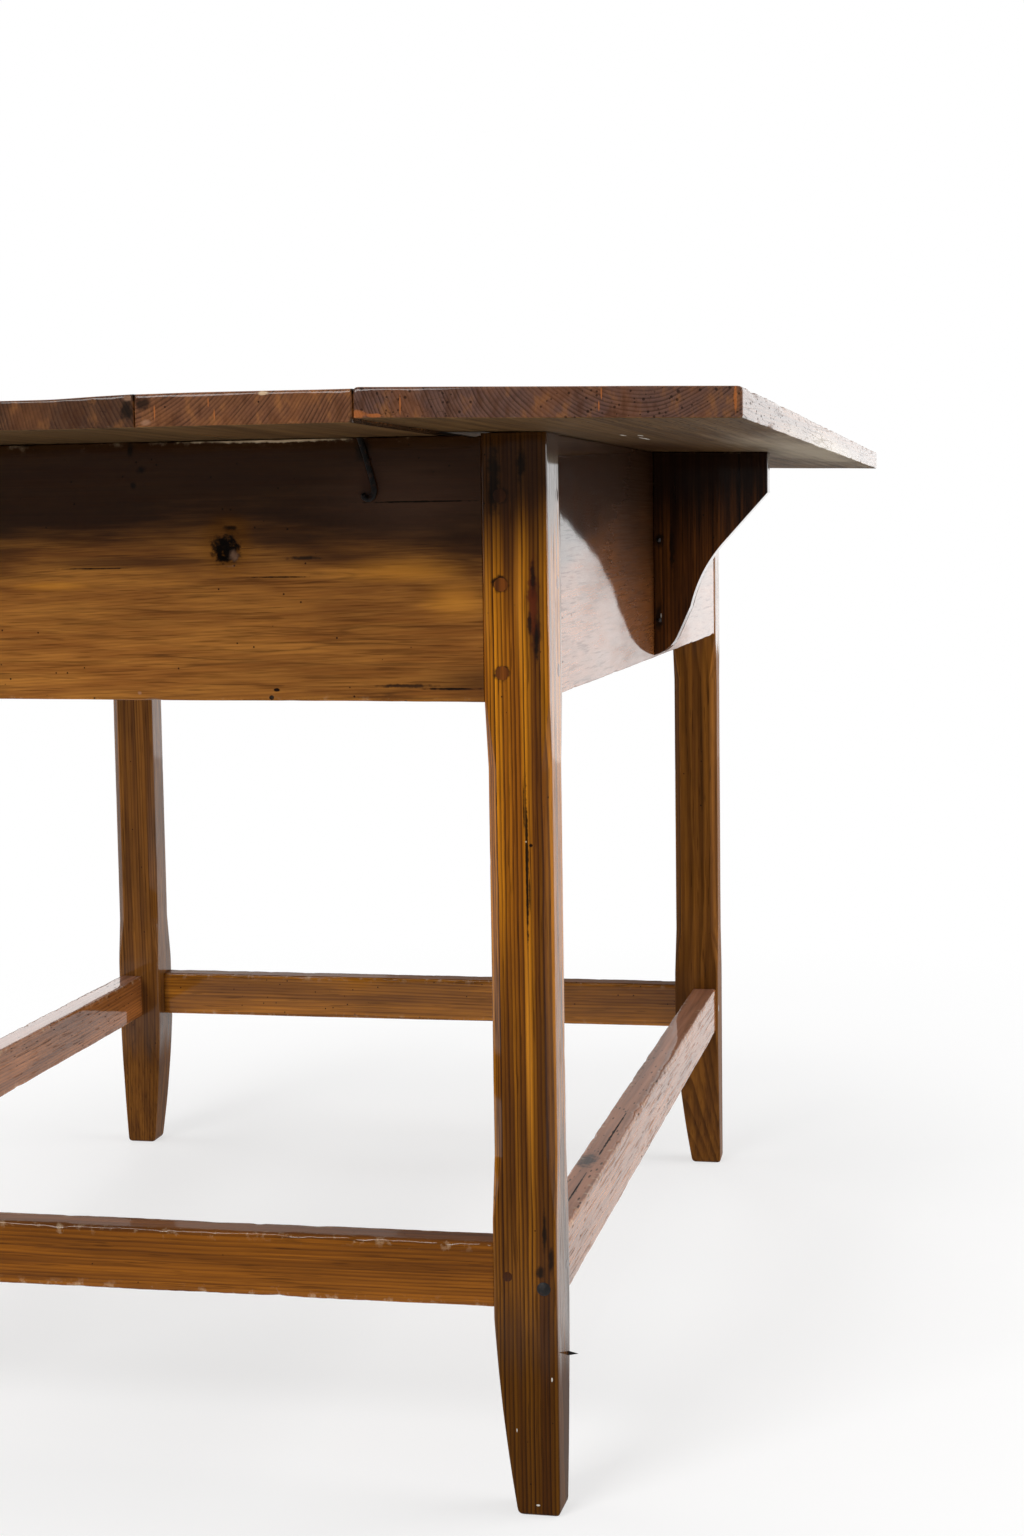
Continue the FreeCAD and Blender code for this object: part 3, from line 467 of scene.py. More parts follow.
def pine(node, axis, pith, seed, **changes):
    """Old varnished heartwood pine with its grain along the axis and its pith beside it."""
    look = {**ALL_PINE, **changes}
    light, body, dark, heart, grime, end, bare_wood = [srgb(*look[tone]) for tone in TONES]
    material, g, place = blank_material(f"{node}_pine")
    grain = along_grain(g, place, axis)
    offset = g.vector("ADD", grain, (seed * 1.7, seed * 2.3, seed * 3.1))
    late = growth_rings(g, grain, offset, look, pith)
    fibres = g.noise(offset, (850, 850, 11), 3.0, 0.6)
    across, lengthwise = look["bands"]
    streaks = g.noise(offset, (across, across, lengthwise), 3.0, 0.55)
    broad = g.noise(offset, (13, 13, 3.5), 3.0, 0.55)

    colour = g.mix(g.ease(streaks, 0.33, 0.68), light, body)
    # Random darker patches of heartwood, and the fades: painted shade by height.
    patches_and_shade = g.times(g.ease(broad, 0.45, 0.70), look["patches"])
    for direction, start, stop, amount in look["fades"]:
        level = g.vector("DOT_PRODUCT", place, direction)
        wavy = g.plus(g.centred(streaks), 0.4, g.centred(broad))
        wavy = g.plus(wavy, 1.6 * abs(stop - start), level)
        patches_and_shade = g.most(patches_and_shade, g.times(g.ease(wavy, start, stop), amount))
    colour = g.mix(patches_and_shade, colour, heart)
    colour = g.mix(g.times(late, look["contrast"]), colour, dark)
    pores = g.ease(g.noise(offset, (620, 620, 26), 1.0), 0.62, 0.72)
    threads = g.noise(offset, (480, 480, 19), 3.0, 0.65)
    hairs = g.times(g.ease(threads, 0.45, 0.72), look["hairs"])
    fine = g.most(g.times(pores, 0.5), hairs)
    colour = g.mix(fine, colour, dark)
    fleecy = g.mix(fibres, srgb(200, 192, 184), srgb(255, 255, 255))
    colour = g.mix(1.0, colour, fleecy, "MULTIPLY")

    axis_vector = [float(letter == axis) for letter in "XYZ"]
    normal = g.node("NewGeometry").outputs["Normal"]
    facing = g.math("ABSOLUTE", g.vector("DOT_PRODUCT", normal, axis_vector))
    end_grain = g.fit(facing, 0.6, 0.85)
    speckle = g.noise(place, 1300, 1.0)
    end_rings = g.plus(speckle, 0.3, g.times(late, 0.62))
    end_colour = g.mix(end_rings, end, grime)
    stained = g.ease(g.noise(place, 42, 3.0), 0.45, 0.7, 0, 0.45)
    end_colour = g.mix(stained, end_colour, body)
    blotch = g.noise(place, (120, 60, 60), 4.0, 0.6)
    end_colour = g.mix(g.ease(blotch, 0.5, 0.7, 0, 0.6), end_colour, dark)
    end_colour = g.mix(g.ease(blotch, 0.5, 0.3, 0, 0.35), end_colour, light)
    colour = g.mix(g.times(end_grain, 0.85), colour, end_colour)

    matt = 0.0
    if look["raw"]:
        towards, raw_colour, gloss_lost = look["raw"]
        raw = g.fit(g.vector("DOT_PRODUCT", normal, towards), 0.6, 0.85)
        dust_and_sheen = g.mix(streaks, srgb(*raw_colour), grime)
        colour = g.mix(g.times(raw, 0.8), colour, dust_and_sheen)
        matt = g.times(raw, gloss_lost)

    if look["worn_below"]:
        high, low = look["worn_below"]
        height = g.parts(place)[2]
        wavy = g.plus(g.centred(streaks), 60 * MM, height)
        matt = g.most(matt, g.ease(wavy, low, high, 0.85, 0.0))

    if look["satin"]:
        towards, gloss_lost = look["satin"]
        facing = g.vector("DOT_PRODUCT", normal, towards)
        matt = g.most(matt, g.fit(facing, 0.6, 0.9, 0.0, gloss_lost))

    worms = spots(g, place, 9 * MM, 0.85 * MM, look["worms"], seed)
    checks = g.times(drying_checks(g, offset), look["checks"])
    holes = g.most(worms, checks)
    if look["pits"]:
        shortened = g.scaled(grain, 1, 1, 0.22)
        pits = spots(g, shortened, 3.2 * MM, 0.9 * MM, look["pits"], seed + 0.5)
        holes = g.most(holes, g.times(pits, 0.8))
    colour = g.mix(g.times(holes, 0.9), colour, grime)
    relief = g.times(holes, -1.0)
    dull = g.most(holes, matt)
    crazed = g.most(pores, g.ease(threads, 0.54, 0.68))
    dull = g.most(dull, g.times(crazed, look["broken"]))

    rough = g.times(g.centred(g.noise(place, 240, 2.0)), 1.1)
    drift = g.plus(g.centred(streaks), 0.5, g.times(g.centred(broad), 1.2))
    for kind, centre, size in look["marks"]:
        tone, strength, depth, duller, soft = MARK_KINDS[kind]
        mark = blot(g, place, drift if kind in SMOOTH_KINDS else rough, centre, size, soft)
        colour = g.mix(g.times(mark, strength), colour, srgb(*tone))
        relief = g.plus(mark, -depth, relief)
        dull = g.most(dull, g.times(mark, duller))

    arris = g.node("Attribute", attribute_name="arris").outputs["Fac"]
    rubbed = g.noise(place, 95, 4.0, 0.65)
    bare = g.times(arris, g.fit(rubbed, 0.60 - 0.14 * look["scars"], 0.70))
    bare = g.times(bare, look["scars"], clamp=True)
    colour = g.mix(bare, colour, bare_wood)
    dull = g.most(dull, bare)

    relief = g.math("ADD", relief, g.times(late, 0.16))
    relief = g.plus(fibres, 0.22, relief)
    bump = g.node("Bump", {"Strength": 0.5, "Distance": 0.4 * MM, "Height": relief})
    ripple = g.noise(offset, (160, 160, 40), 3.0, 0.6)
    varnish = g.plus(ripple, look["ripple"], g.times(relief, 0.12))
    film = g.node("Bump", {"Strength": 0.3, "Distance": 0.4 * MM, "Height": varnish})
    shader = g.node("BsdfPrincipled", {
        "Base Color": colour,
        "Roughness": g.fit(fibres, 0.2, 0.8, 0.48, 0.72),
        "Specular IOR Level": 0.02,
        "Normal": bump.outputs[0],
        "Coat Weight": g.times(g.math("SUBTRACT", 1.0, dull, clamp=True), look["coat"]),
        "Coat Roughness": 0.05,
        "Coat IOR": 1.33,
        "Coat Normal": film.outputs[0],
    })
    g.node("OutputMaterial", {"Surface": shader.outputs[0]})
    return material


def iron(name, tone, rust):
    """Black wrought iron with some rust."""
    material, g, place = blank_material(name)
    pitted = g.noise(place, 900, 4.0, 0.6)
    rusty = g.noise(place, 260, 3.0, 0.6)
    colour = g.mix(g.ease(rusty, 0.5, 0.7), srgb(*tone), srgb(*rust))
    bump = g.node("Bump", {"Strength": 0.6, "Distance": 0.4 * MM, "Height": pitted})
    shader = g.node("BsdfPrincipled", {
        "Base Color": colour, "Roughness": g.fit(pitted, 0.2, 0.8, 0.4, 0.75),
        "Metallic": 0.35, "Normal": bump.outputs[0],
    })
    g.node("OutputMaterial", {"Surface": shader.outputs[0]})
    return material


# ---------------- legs


def leg_corners(heights):
    """The eight corners of a leg's section at each height, measured from its outer corner."""
    run_in = np.clip((heights - CHAMFER_LOW) / CHAMFER_RUN, 0, 1)
    run_out = np.clip((CHAMFER_HIGH - heights) / CHAMFER_RUN, 0, 1)
    flare = np.minimum(run_in, run_out)
    low = np.clip(heights / FOOT_TAPER_START, 0, 1)
    taper = FOOT_TAPER * (1 - low) - 4 * FOOT_BELLY * low * (1 - low)
    inner = LEG - taper - LEG_RELIEF * flare
    cut = 1.3 * MM + (CHAMFER - 1.3 * MM) * flare
    zero = np.zeros_like(heights)
    pairs = [
        (cut, zero), (inner - cut, zero), (inner, cut), (inner, inner - cut),
        (inner - cut, inner), (cut, inner), (zero, inner - cut), (zero + LEG_SQUARENESS, cut),
    ]
    return np.stack([np.stack(pair, axis=1) for pair in pairs], axis=1)


def make_leg(node, across, lengthwise, seeds, pith, **look):
    """across and lengthwise are 1 or -1: the side and the end of the table that it stands at.

    Here and below, seeds are for the shape and for the wood."""
    seed = seeds[0]
    heights, inset = ring_places(0, BASE_TOP, RING_STEP, first=SOLE_WEAR, last=0.3 * MM)
    wear = worn_arrises(heights, seed, [(0.5, 3)] * 8, chip=1.2 * MM)
    points, near = sections(leg_corners(heights), wear, [8, 1] * 4)
    solid = stacked(drawn_in(points, inset), heights)
    solid = planed(solid, seed, depths=(0.12 * MM, 0.25 * MM))
    x = across * (BASE[0] - solid[..., 0])
    y = lengthwise * (BASE[1] - solid[..., 1])
    rings = np.stack([x, y, solid[..., 2]], axis=2)
    near = np.maximum(near, (inset > 0)[:, None] * 1.0)
    wood = pine(node, "Z", pith, seeds[1], **look)
    mesh_piece(node, rings, near, wood, flip=across * lengthwise < 0)


# ---------------- rails


def make_rail(node, slot, tenon, arrises, seeds, pith, hollows=(), dents=(), bow=0.0,
              lower=(0.0, 0.0), **look):
    """A rail that follows its node's box; tenon is (length, thickness, foot, head).

    bow draws in the near end of its outer face, and lower (rise, slope) shifts its lower edge.
    hollows are (centre, half length, depth) along its upper edge; dents in its outer face are
    (centre, height, half length, half height, depth)."""
    low, high = extent(node)
    run = 0 if high[0] - low[0] > high[1] - low[1] else 1
    side = 1 - run
    outer = high[side] if high[side] + low[side] > 0 else low[side]
    facing = 1 if outer > 0 else -1
    thick, deep = high[side] - low[side], high[2] - low[2]
    length, tenon_thick, foot, head = tenon
    seed = seeds[0]
    shoulder = high[run] - length
    places, inset = ring_places(-shoulder, shoulder, RING_STEP, 0.5 * MM, 0.5 * MM)

    def box(u0, u1, v0, v1, count):
        ring = np.array([(u0, v0), (u1, v0), (u1, v1), (u0, v1)])
        return np.repeat(ring[None], count, axis=0)

    counts = [5, 14, 5, int(deep / RING_STEP)]
    body = box(0, thick, 0, deep, len(places))
    body[:, (0, 3), 0] += bow * (np.minimum(places, 0)[:, None] / shoulder) ** 2
    body[:, :2, 1] += lower[0] + lower[1] * places[:, None]
    for centre, half, depth in hollows:
        level = np.clip((half - np.abs(places - centre)) / HOLLOW_RUN, 0, 1)
        body[:, 2:, 1] -= (depth * level)[:, None]
    points, near = sections(body, worn_arrises(places, seed, arrises, chip=2.2 * MM), counts)
    points = drawn_in(points, inset)
    middle = (thick - tenon_thick) / 2
    tongue = box(middle, middle + tenon_thick, foot, deep - head, 2)
    ends, _ = sections(tongue, np.full((2, 4), 0.5 * MM), counts)
    rings2d = np.concatenate([ends, points, ends], axis=0)
    stops = np.concatenate([[-high[run], -shoulder], places, [shoulder, high[run]]])
    near = np.concatenate([ends[..., 0] * 0, near, ends[..., 0] * 0], axis=0)
    solid = planed(stacked(rings2d, stops), seed, depths=(0.12 * MM, 0.4 * MM))
    for centre, height, half_long, half_high, depth in dents:
        apart = np.hypot((solid[..., 2] - centre) / half_long,
                         (low[2] + solid[..., 1] - height) / half_high)
        apart = apart + 0.3 * waves(solid, seed + 9, 9 * MM)
        on_face = solid[..., 0] < 1.5 * MM
        solid[..., 0] += on_face * depth * np.clip((1.05 - apart) / 0.5, 0, 1)
    rings = np.zeros_like(solid)
    rings[..., run] = solid[..., 2]
    rings[..., side] = outer - facing * solid[..., 0]
    rings[..., 2] = low[2] + solid[..., 1]
    wood = pine(node, "XY"[run], pith, seeds[1], **look)
    mesh_piece(node, rings, near, wood, flip=(run == 0) == (facing > 0))


# ---------------- top boards


def make_board(node, corners, arrises, counts, seeds, pith, **look):
    """A board along Y, with the upper arrises of its ends rubbed down."""
    seed = seeds[0]
    places, inset = ring_places(-TOP_END, TOP_END, BOARD_STEP, 1.6 * MM, 1.6 * MM)
    polygon = np.repeat(np.array(corners)[None], len(places), axis=0)
    wear = worn_arrises(places, seed, arrises, chip=3 * MM, width=9 * MM)
    points, near = sections(polygon, wear, counts)
    solid = stacked(drawn_in(points, inset), places)
    solid = planed(solid, seed, depths=(0.1 * MM, 0.5 * MM))
    middle, half = middles(solid)
    upper = np.clip((solid[..., 1] - middle[..., 1]) / half[..., 1], 0, 1)
    bite = 0.5 * MM * (1 + waves(solid, seed, 20 * MM)) * (inset / inset.max())[:, None]
    solid[..., 1] -= upper * bite
    rings = np.stack([solid[..., 0], solid[..., 2], solid[..., 1]], axis=2)
    near = np.maximum(near, (inset > 0)[:, None] * 1.0)
    mesh_piece(node, rings, near, pine(node, "Y", pith, seeds[1], **look), flip=True)


def edge_board_corners(side):
    """Section of an outer board, from the box of its node."""
    low, high = extent(EDGE_NODES[side])
    inner, outer = (low[0], high[0]) if side > 0 else (high[0], low[0])
    ring = [(inner, high[2] - EDGE_BOARD_THICKNESS), (outer, low[2]),
            (outer, low[2] + EDGE_BOARD_THICKNESS), (inner, high[2])]
    return ring[::side]


def flat_board_corners(node):
    low, high = extent(node)
    return [(low[0], low[2]), (high[0], low[2]), (high[0], high[2]), (low[0], high[2])]


def centre_board_corners(node):
    low, high = extent(node)
    flat = high[0] - HOLLOW_SHOULDER
    worn_level = high[2] - HOLLOW_DEPTH
    return [(low[0], low[2]), (high[0], low[2]), (high[0], high[2]), (flat, worn_level),
            (-flat, worn_level), (low[0], high[2])]


# ---------------- brackets


def bowed(start, end, sagitta, steps=BRACKET_STEPS):
    """Points from start to before end, bowed to the left of that direction."""
    start, end = np.array(start), np.array(end)
    chord = end - start
    left = np.array([-chord[1], chord[0]]) / np.linalg.norm(chord)
    return [tuple(start + chord * t + left * 4 * sagitta * t * (1 - t))
            for t in np.arange(steps) / steps]


def bracket_profile(reach, drop):
    """The bracket's outline from the top corner at the apron: reach outward and height."""
    nose, knee, waist = -36 * MM, (62 * MM, -75 * MM), (31 * MM, 41 * MM - drop)
    toe, tip = (19 * MM, 15 * MM - drop), (0.0, -drop)
    ring = [(0.0, -60 * MM), (0.0, -120 * MM)]
    ring += bowed(tip, toe, -2.9 * MM, 6)
    ring += [toe]
    ring += bowed(waist, knee, 4.3 * MM)
    ring += [knee, (0.5 * (knee[0] + reach), 0.5 * (knee[1] + nose)), (reach, nose)]
    fall = EDGE_BOARD_SLOPE * reach
    ring += [(reach, 0.5 * nose), (reach, -fall), (0.5 * reach, -0.5 * fall)]
    return np.array(ring + [(0.0, 0.0)])


def make_bracket(node, side, pith, seed, **look):
    low, high = extent(node)
    reach, drop = high[0] - low[0], high[2] - low[2]
    root = low[0] if side > 0 else high[0]
    profile = bracket_profile(reach, drop)
    places, inset = ring_places(low[1], high[1], RING_STEP, 1.2 * MM, 1.2 * MM)
    ring = np.repeat(profile[None], len(places), axis=0)
    sharp = np.full(ring.shape[:2], 0.3 * MM)
    points, _ = sections(ring, sharp, [0] * len(profile))
    solid = stacked(drawn_in(points, inset), places)
    rings = np.stack([root + side * solid[..., 0], solid[..., 2], high[2] + solid[..., 1]], axis=2)
    near = np.repeat((inset > 0)[:, None] * 0.9, points.shape[1], axis=1)
    # A point inside the outline that no hollow hides from any part of it.
    middle = (root + side * 0.26 * reach, high[2] - 0.24 * drop)
    hub = [(middle[0], low[1], middle[1]), (middle[0], high[1], middle[1])]
    wood = pine(node, "Z", pith, seed, **look)
    mesh_piece(node, rings, near, wood, flip=side > 0, hub=hub)


# ---------------- pegs and hook


def make_pegs(node, heights, width, seed, material):
    """Whittled pegs at the four corners of the table, trimmed nearly flush with the legs."""
    high = extent(node)[1]
    ends_face = high[1] > BASE[1]
    run = int(ends_face)
    side = 1 - run
    dice = np.random.default_rng(seed)
    turn = np.arange(PEG_SIDES) * 2 * math.pi / PEG_SIDES
    # How far out each ring of a peg stands, and its share of the radius.
    crown = [(-PEG_LENGTH, 1.0), (-0.4 * MM, 1.0), (0.4 * PEG_PROUD, 0.97), (PEG_PROUD, 0.86),
             (1.3 * PEG_PROUD, 0.4)]
    points, faces = [], []
    for height, across, outward in product(heights, (-1, 1), (-1, 1)):
        facets = 1 + 0.045 * np.cos(8 * turn + dice.uniform(0, 6)) + dice.normal(
            0, 0.012, PEG_SIDES)
        radius = np.minimum(width / 2 * facets, width / 2)
        first = len(points)
        for depth, share in crown:
            for angle, reach in zip(turn, radius * share):
                place = np.zeros(3)
                place[run] = outward * (BASE[run] + depth)
                place[side] = across * (high[side] - width / 2) + reach * math.cos(angle)
                place[2] = height + reach * math.sin(angle)
                if not ends_face:
                    away = (BASE[1] - abs(place[1])) / LEG
                    place[0] -= outward * (LEG_SQUARENESS * (1 - away) + PEG_PROUD)
                points.append(place.tolist())
        flip = (outward > 0) == (run == 0)
        for level in range(len(crown) - 1):
            lower = first + level * PEG_SIDES
            for a in range(PEG_SIDES):
                b = (a + 1) % PEG_SIDES
                quad = [lower + a, lower + b, lower + b + PEG_SIDES, lower + a + PEG_SIDES]
                faces.append(quad if flip else quad[::-1])
        bottom = list(range(first, first + PEG_SIDES))
        top = [i + PEG_SIDES * (len(crown) - 1) for i in bottom]
        faces += [bottom[::-1], top] if flip else [bottom, top[::-1]]
    mesh = new_mesh(node, points, faces, material)
    mesh.set_sharp_from_angle(angle=math.radians(50))
    stand_for(add_object(f"{node}_wood", mesh), node)


def make_hook(node, material):
    """The bent nail on the near apron: hammered, thickest at its turned-up tip."""
    low, high = extent(node)
    back = high[1]
    route = [(203.2, 735.4), (205.0, 730), (208.0, 720), (211.2, 709), (212.9, 701),
             (212.0, 696.2), (208.8, 694.2), (205.9, 695.6), (205.0, 698.4)]
    stems = np.array(route) * MM
    stems[:, 1] += high[2] - stems[0, 1]
    places = np.linspace(0, len(stems) - 1, 60)
    line = np.stack([np.interp(places, np.arange(len(stems)), stems[:, i]) for i in (0, 1)], axis=1)
    for _ in range(3):
        line[1:-1] = (line[:-2] + 2 * line[1:-1] + line[2:]) / 4
    heading = np.gradient(line, axis=0)
    heading /= np.linalg.norm(heading, axis=1, keepdims=True)
    thick = np.interp(places, [0, 4, 6.5, 7.5, 8], [1.7, 1.9, 1.9, 2.2, 1.1]) * MM
    thick = thick * (1 + 0.10 * along(places * 5 * MM, 5, 9 * MM))
    angle = np.arange(HOOK_SIDES) * 2 * math.pi / HOOK_SIDES
    out = np.stack([-heading[:, 1], heading[:, 0]], axis=1)
    flat = thick[:, None] * np.cos(angle)
    depth = np.minimum(thick, HOOK_HALF)[:, None] * np.sin(-angle)
    rings = np.zeros((len(line), HOOK_SIDES, 3))
    rings[..., 0] = line[:, :1] + flat * out[:, :1]
    rings[..., 2] = line[:, 1:] + flat * out[:, 1:]
    rings[..., 1] = back - HOOK_HALF + depth
    rings = np.clip(rings, (-1, -1, low[2]), (1, back, high[2]))
    mesh_piece(node, rings, np.zeros(rings.shape[:2]), material, made="wrought")


# ---------------- the table

# Marks and their half sizes are in millimetres, as the photograph shows them.
LEG_FACE, APRON_FACE, TOP_FACE = -490, -489, -707


def near_face(y, *groups):
    """Marks on a face that looks to the near end, in groups of one kind: for each mark its x
    and z, and its half width, depth and height."""
    return tuple((kind, (x, y, z), (wide, deep, high))
                 for kind, *rows in groups for x, z, wide, deep, high in rows)


# LEG_TOP_SHADE darkens the legs at the top: painted shade under the top, with some grime there.
LEG_TOP_SHADE = (UP, 0.632, 0.706, 0.93)
# FOOT_SHADE darkens them towards the floor: painted shade where the light falls off.
FOOT_SHADE = (DOWN, -0.47, -0.12, 0.82)
RIGHT_LEG_MARKS = near_face(
    LEG_FACE,
    ("crack", (297.4, 578, 5.9, 3, 5.9), (297, 637, 6.1, 3, 6)),
    ("stain", (297.5, 695, 6.4, 3, 6.4)),
    ("shade", (320, 616, 7, 9, 56)),
    ("stain", (319, 630, 4.4, 6, 15), (320.5, 606, 3.8, 6, 17)),
    ("shade", (320.5, 520, 10, 14, 330), (322, 260, 9, 14, 260), (302.5, 655, 5, 9, 60)),
) + (
    ("shade", (329, -470, 470), (2.2, 7, 300)),
    ("shade", (329, -450, 600), (2.2, 5, 200)),
) + near_face(
    LEG_FACE,
    ("red", (318.5, 626, 4.5, 8, 30)),
    ("stain", (319, 640, 2.2, 6, 13), (316.5, 611, 1.8, 6, 11), (321, 598, 1.6, 6, 15)),
    ("glow", (309, 628, 3.4, 5, 70), (288, 625, 2.5, 5, 60), (312, 330, 3, 5, 120)),
    ("stain", (294, 706, 5, 8, 27), (312, 716, 4, 8, 14)),
    ("crack", (312.6, 449, 1.1, 4, 54), (310.9, 486, 0.5, 4, 17), (314.2, 431, 0.5, 4, 14)),
    ("hole", (315.4, 463, 1.4, 4, 1.4)),
    ("bare", (312, 465.5, 0.8, 4, 0.8)),
    ("stain", (321, 200, 1.8, 5, 17), (325.5, 180, 2.4, 5, 12), (318, 172, 4, 5, 6)),
    ("fleck", (324.9, 97, 0.6, 4, 1.6), (300.1, 60, 0.4, 4, 1.4), (314, 8, 1.6, 4, 0.8)),
)
LEG_LOOK = dict(light=(190, 120, 22), body=(146, 86, 14), late=(42, 21, 5),
                heart=(40, 21, 8), contrast=0.9, patches=0.5, scars=0.0, broken=0.5,
                fades=(LEG_TOP_SHADE, FOOT_SHADE), worn_below=(136 * MM, 88 * MM))
# The rear legs take a little of that painted shade towards the floor.
REAR_LEG_LOOK = dict(LEG_LOOK, fades=(LEG_TOP_SHADE, (DOWN, -0.30, -0.12, 0.3)),
                     contrast=0.6, light=(162, 104, 40), body=(122, 76, 32))
make_leg("leg_front_right", 1, -1, (11, 1.0), (0.18, -0.46), **dict(
    LEG_LOOK, spacing=2.7 * MM, waviness=1.2 * MM, contrast=1.0, patches=0.2,
    light=(214, 136, 18), body=(150, 86, 10), marks=RIGHT_LEG_MARKS))
make_leg("leg_front_left", -1, -1, (12, 2.0), (-0.46, -0.45), spacing=2.9 * MM, **LEG_LOOK)
make_leg("leg_rear_right", 1, 1, (13, 3.0), (0.27, 0.58), spacing=3.1 * MM,
         **dict(REAR_LEG_LOOK, worn_below=(555 * MM, 540 * MM)))
make_leg("leg_rear_left", -1, 1, (14, 4.0), (-0.22, 0.50), spacing=2.7 * MM, **REAR_LEG_LOOK)

# Each kind of rail has its slot, its tenon and its arrises.
APRON = ("aprons", (27 * MM, 8 * MM, 6 * MM, 18 * MM), [(0.8, 6), (0.8, 2), (0.8, 0), (0.8, 4)])
STRETCHER = ("stretchers", (24 * MM, 10 * MM, 6 * MM, 6 * MM),
             [(1.4, 5), (1.2, 3), (1.6, 5), (2.4, 16)])
APRON_LOOK = dict(
    light=(164, 108, 44), body=(136, 84, 32), heart=(36, 19, 7),
    spacing=1.5 * MM, contrast=0.24, patches=0.3, waviness=6 * MM,
    tilt=(0.0, -0.05), bands=(130, 13), hairs=0.5, checks=0.4,
)
STRETCHER_LOOK = dict(light=(154, 92, 18), body=(116, 66, 10), contrast=0.5,
                      bands=(150, 5), raw=(UP, (146, 88, 42), 0.94))
REAR_STRETCHER = dict(light=(208, 134, 40), body=(170, 106, 28))
SIDE_STRETCHER = dict(light=(190, 118, 58), body=(150, 90, 42), broken=0.6,
                      raw=(UP, (206, 146, 116), 0.6))
FRONT_APRON_MARKS = near_face(
    APRON_FACE,
    ("haze", (235, 690, 75, 6, 34)),
    ("shade", (285, 572, 58, 6, 18), (185, 656, 55, 6, 6), (40, 654, 75, 6, 5)),
    ("stain", (49.6, 716, 4, 6, 3.2), (43.6, 706, 2.6, 6, 2.6), (42.2, 730, 3, 6, 6),
     (205, 727, 6, 6, 9)),
    ("shade", (210, 706, 9, 6, 20)),
    ("matt", (110, 666, 20, 6, 24)),
    ("stain", (109, 662, 12, 6, 12)),
    ("hole", (108.6, 662, 9.5, 6, 9.5)),
    ("torn", (113, 658, 4.6, 6, 5)),
    ("stain", (111.5, 676.5, 5.5, 6, 1.9), (163, 655.5, 14, 6, 1.6)),
    ("crack", (14.5, 650, 27, 6, 0.5), (146, 643, 22, 6, 0.5), (243, 692, 42, 6, 0.6)),
    ("stain", (232, 569.5, 24, 6, 1.6)),
    ("crack", (262, 567.5, 20, 6, 0.8)),
    ("hole", (138.1, 561.8, 1.8, 6, 1.6), (141.7, 566.9, 2.4, 6, 1.2)),
    ("torn", (44.2, 564.9, 1.6, 6, 1.4)),
    ("glow", (-20, 638, 34, 6, 4), (266, 627, 32, 6, 18), (236, 646, 56, 6, 10)),
    # Bare wood on the worn upper arris, painted pale as well for the light seen through the gap
    # under the board.
    ("bare", (138, 734.8, 64, 4, 2.2), (150, 734.8, 52, 4, 2.2)),
)
APRON_PITHS = {"front": (-0.39, 0.50), "rear": (0.39, 0.80), "right": (0.50, 0.24),
               "left": (0.79, -0.24)}
STRETCHER_PITHS = {"front": (-0.46, 0.21), "rear": (0.52, 0.12), "right": (0.11, 0.36),
                   "left": (0.22, -0.35)}
NEAR_APRON = dict(marks=FRONT_APRON_MARKS, hollows=[(280 * MM, 6 * MM, 2 * MM)],
                  dents=[(109 * MM, 661.5 * MM, 8.5 * MM, 9.5 * MM, 3 * MM),
                         (111.5 * MM, 676 * MM, 6 * MM, 3 * MM, 1.2 * MM)],
                  lower=(-0.7 * MM, -0.00675))
# The aprons are darker at the top: painted shade under the top's overhang, with some grime there.
for index, end in enumerate(("front", "rear")):
    make_rail(f"apron_{end}", *APRON, (30 + index, 5.0 + index), APRON_PITHS[end],
              fades=((UP, 0.625, 0.690, 0.95),), worms=0.9, **APRON_LOOK,
              **(NEAR_APRON if end == "front" else {}))
    make_rail(f"stretcher_{end}", *STRETCHER, (40 + index, 7.0 + index), STRETCHER_PITHS[end],
              worms=0.5, scars=0.4,
              **dict(STRETCHER_LOOK, **(REAR_STRETCHER if end == "rear" else {})))
RIGHT_STRETCHER_MARKS = (
    ("stain", (311, -262, 190), (11, 24, 4)),
    ("crack", (318, -180, 190), (1, 90, 3)),
    ("crack", (317, -350, 190), (0.8, 60, 3)),
)
# The side aprons are darker at the top, painted shade under the top; the dim marks are painted
SIDE_APRON = dict(APRON_LOOK, light=(166, 100, 48), body=(144, 86, 42), checks=0.1, scars=0.05,
                  # shade round the brackets, with the gloss taken off there.
                  broken=0.15, fades=((UP, 0.60, 0.69, 0.92),), bow=RAIL_BOW,
                  marks=[("dim", (side * 329, 0, 735), (24, 350, 290)) for side in (1, -1)])
for index, flank in enumerate(("right", "left")):
    make_rail(f"apron_{flank}", *APRON, (50 + index, 9.0 + index), APRON_PITHS[flank], **SIDE_APRON)
    make_rail(f"stretcher_{flank}", *STRETCHER, (60 + index, 11.0 + index), STRETCHER_PITHS[flank],
              scars=0.5, pits=0.35, marks=RIGHT_STRETCHER_MARKS if flank == "right" else (),
              **dict(STRETCHER_LOOK, **SIDE_STRETCHER))

EDGE_NODES = {1: "top_board_right_edge", -1: "top_board_left_edge"}
EDGE_JOINT, SECOND_JOINT, TOP_LEVEL = 257, 125, 755
NAIL_LINE_X, NAIL_LINE_Y = 318, 478


def top_wear(joints, nails):
    """Dirt in the joints between the boards and round the heads of the nails."""
    marks = [("stain", (x, 0, TOP_LEVEL), (1.9, 3000, 5)) for x in joints]
    return tuple(marks + [("stain", (x, y, TOP_LEVEL - 1), (7, 11, 5)) for x, y in nails])


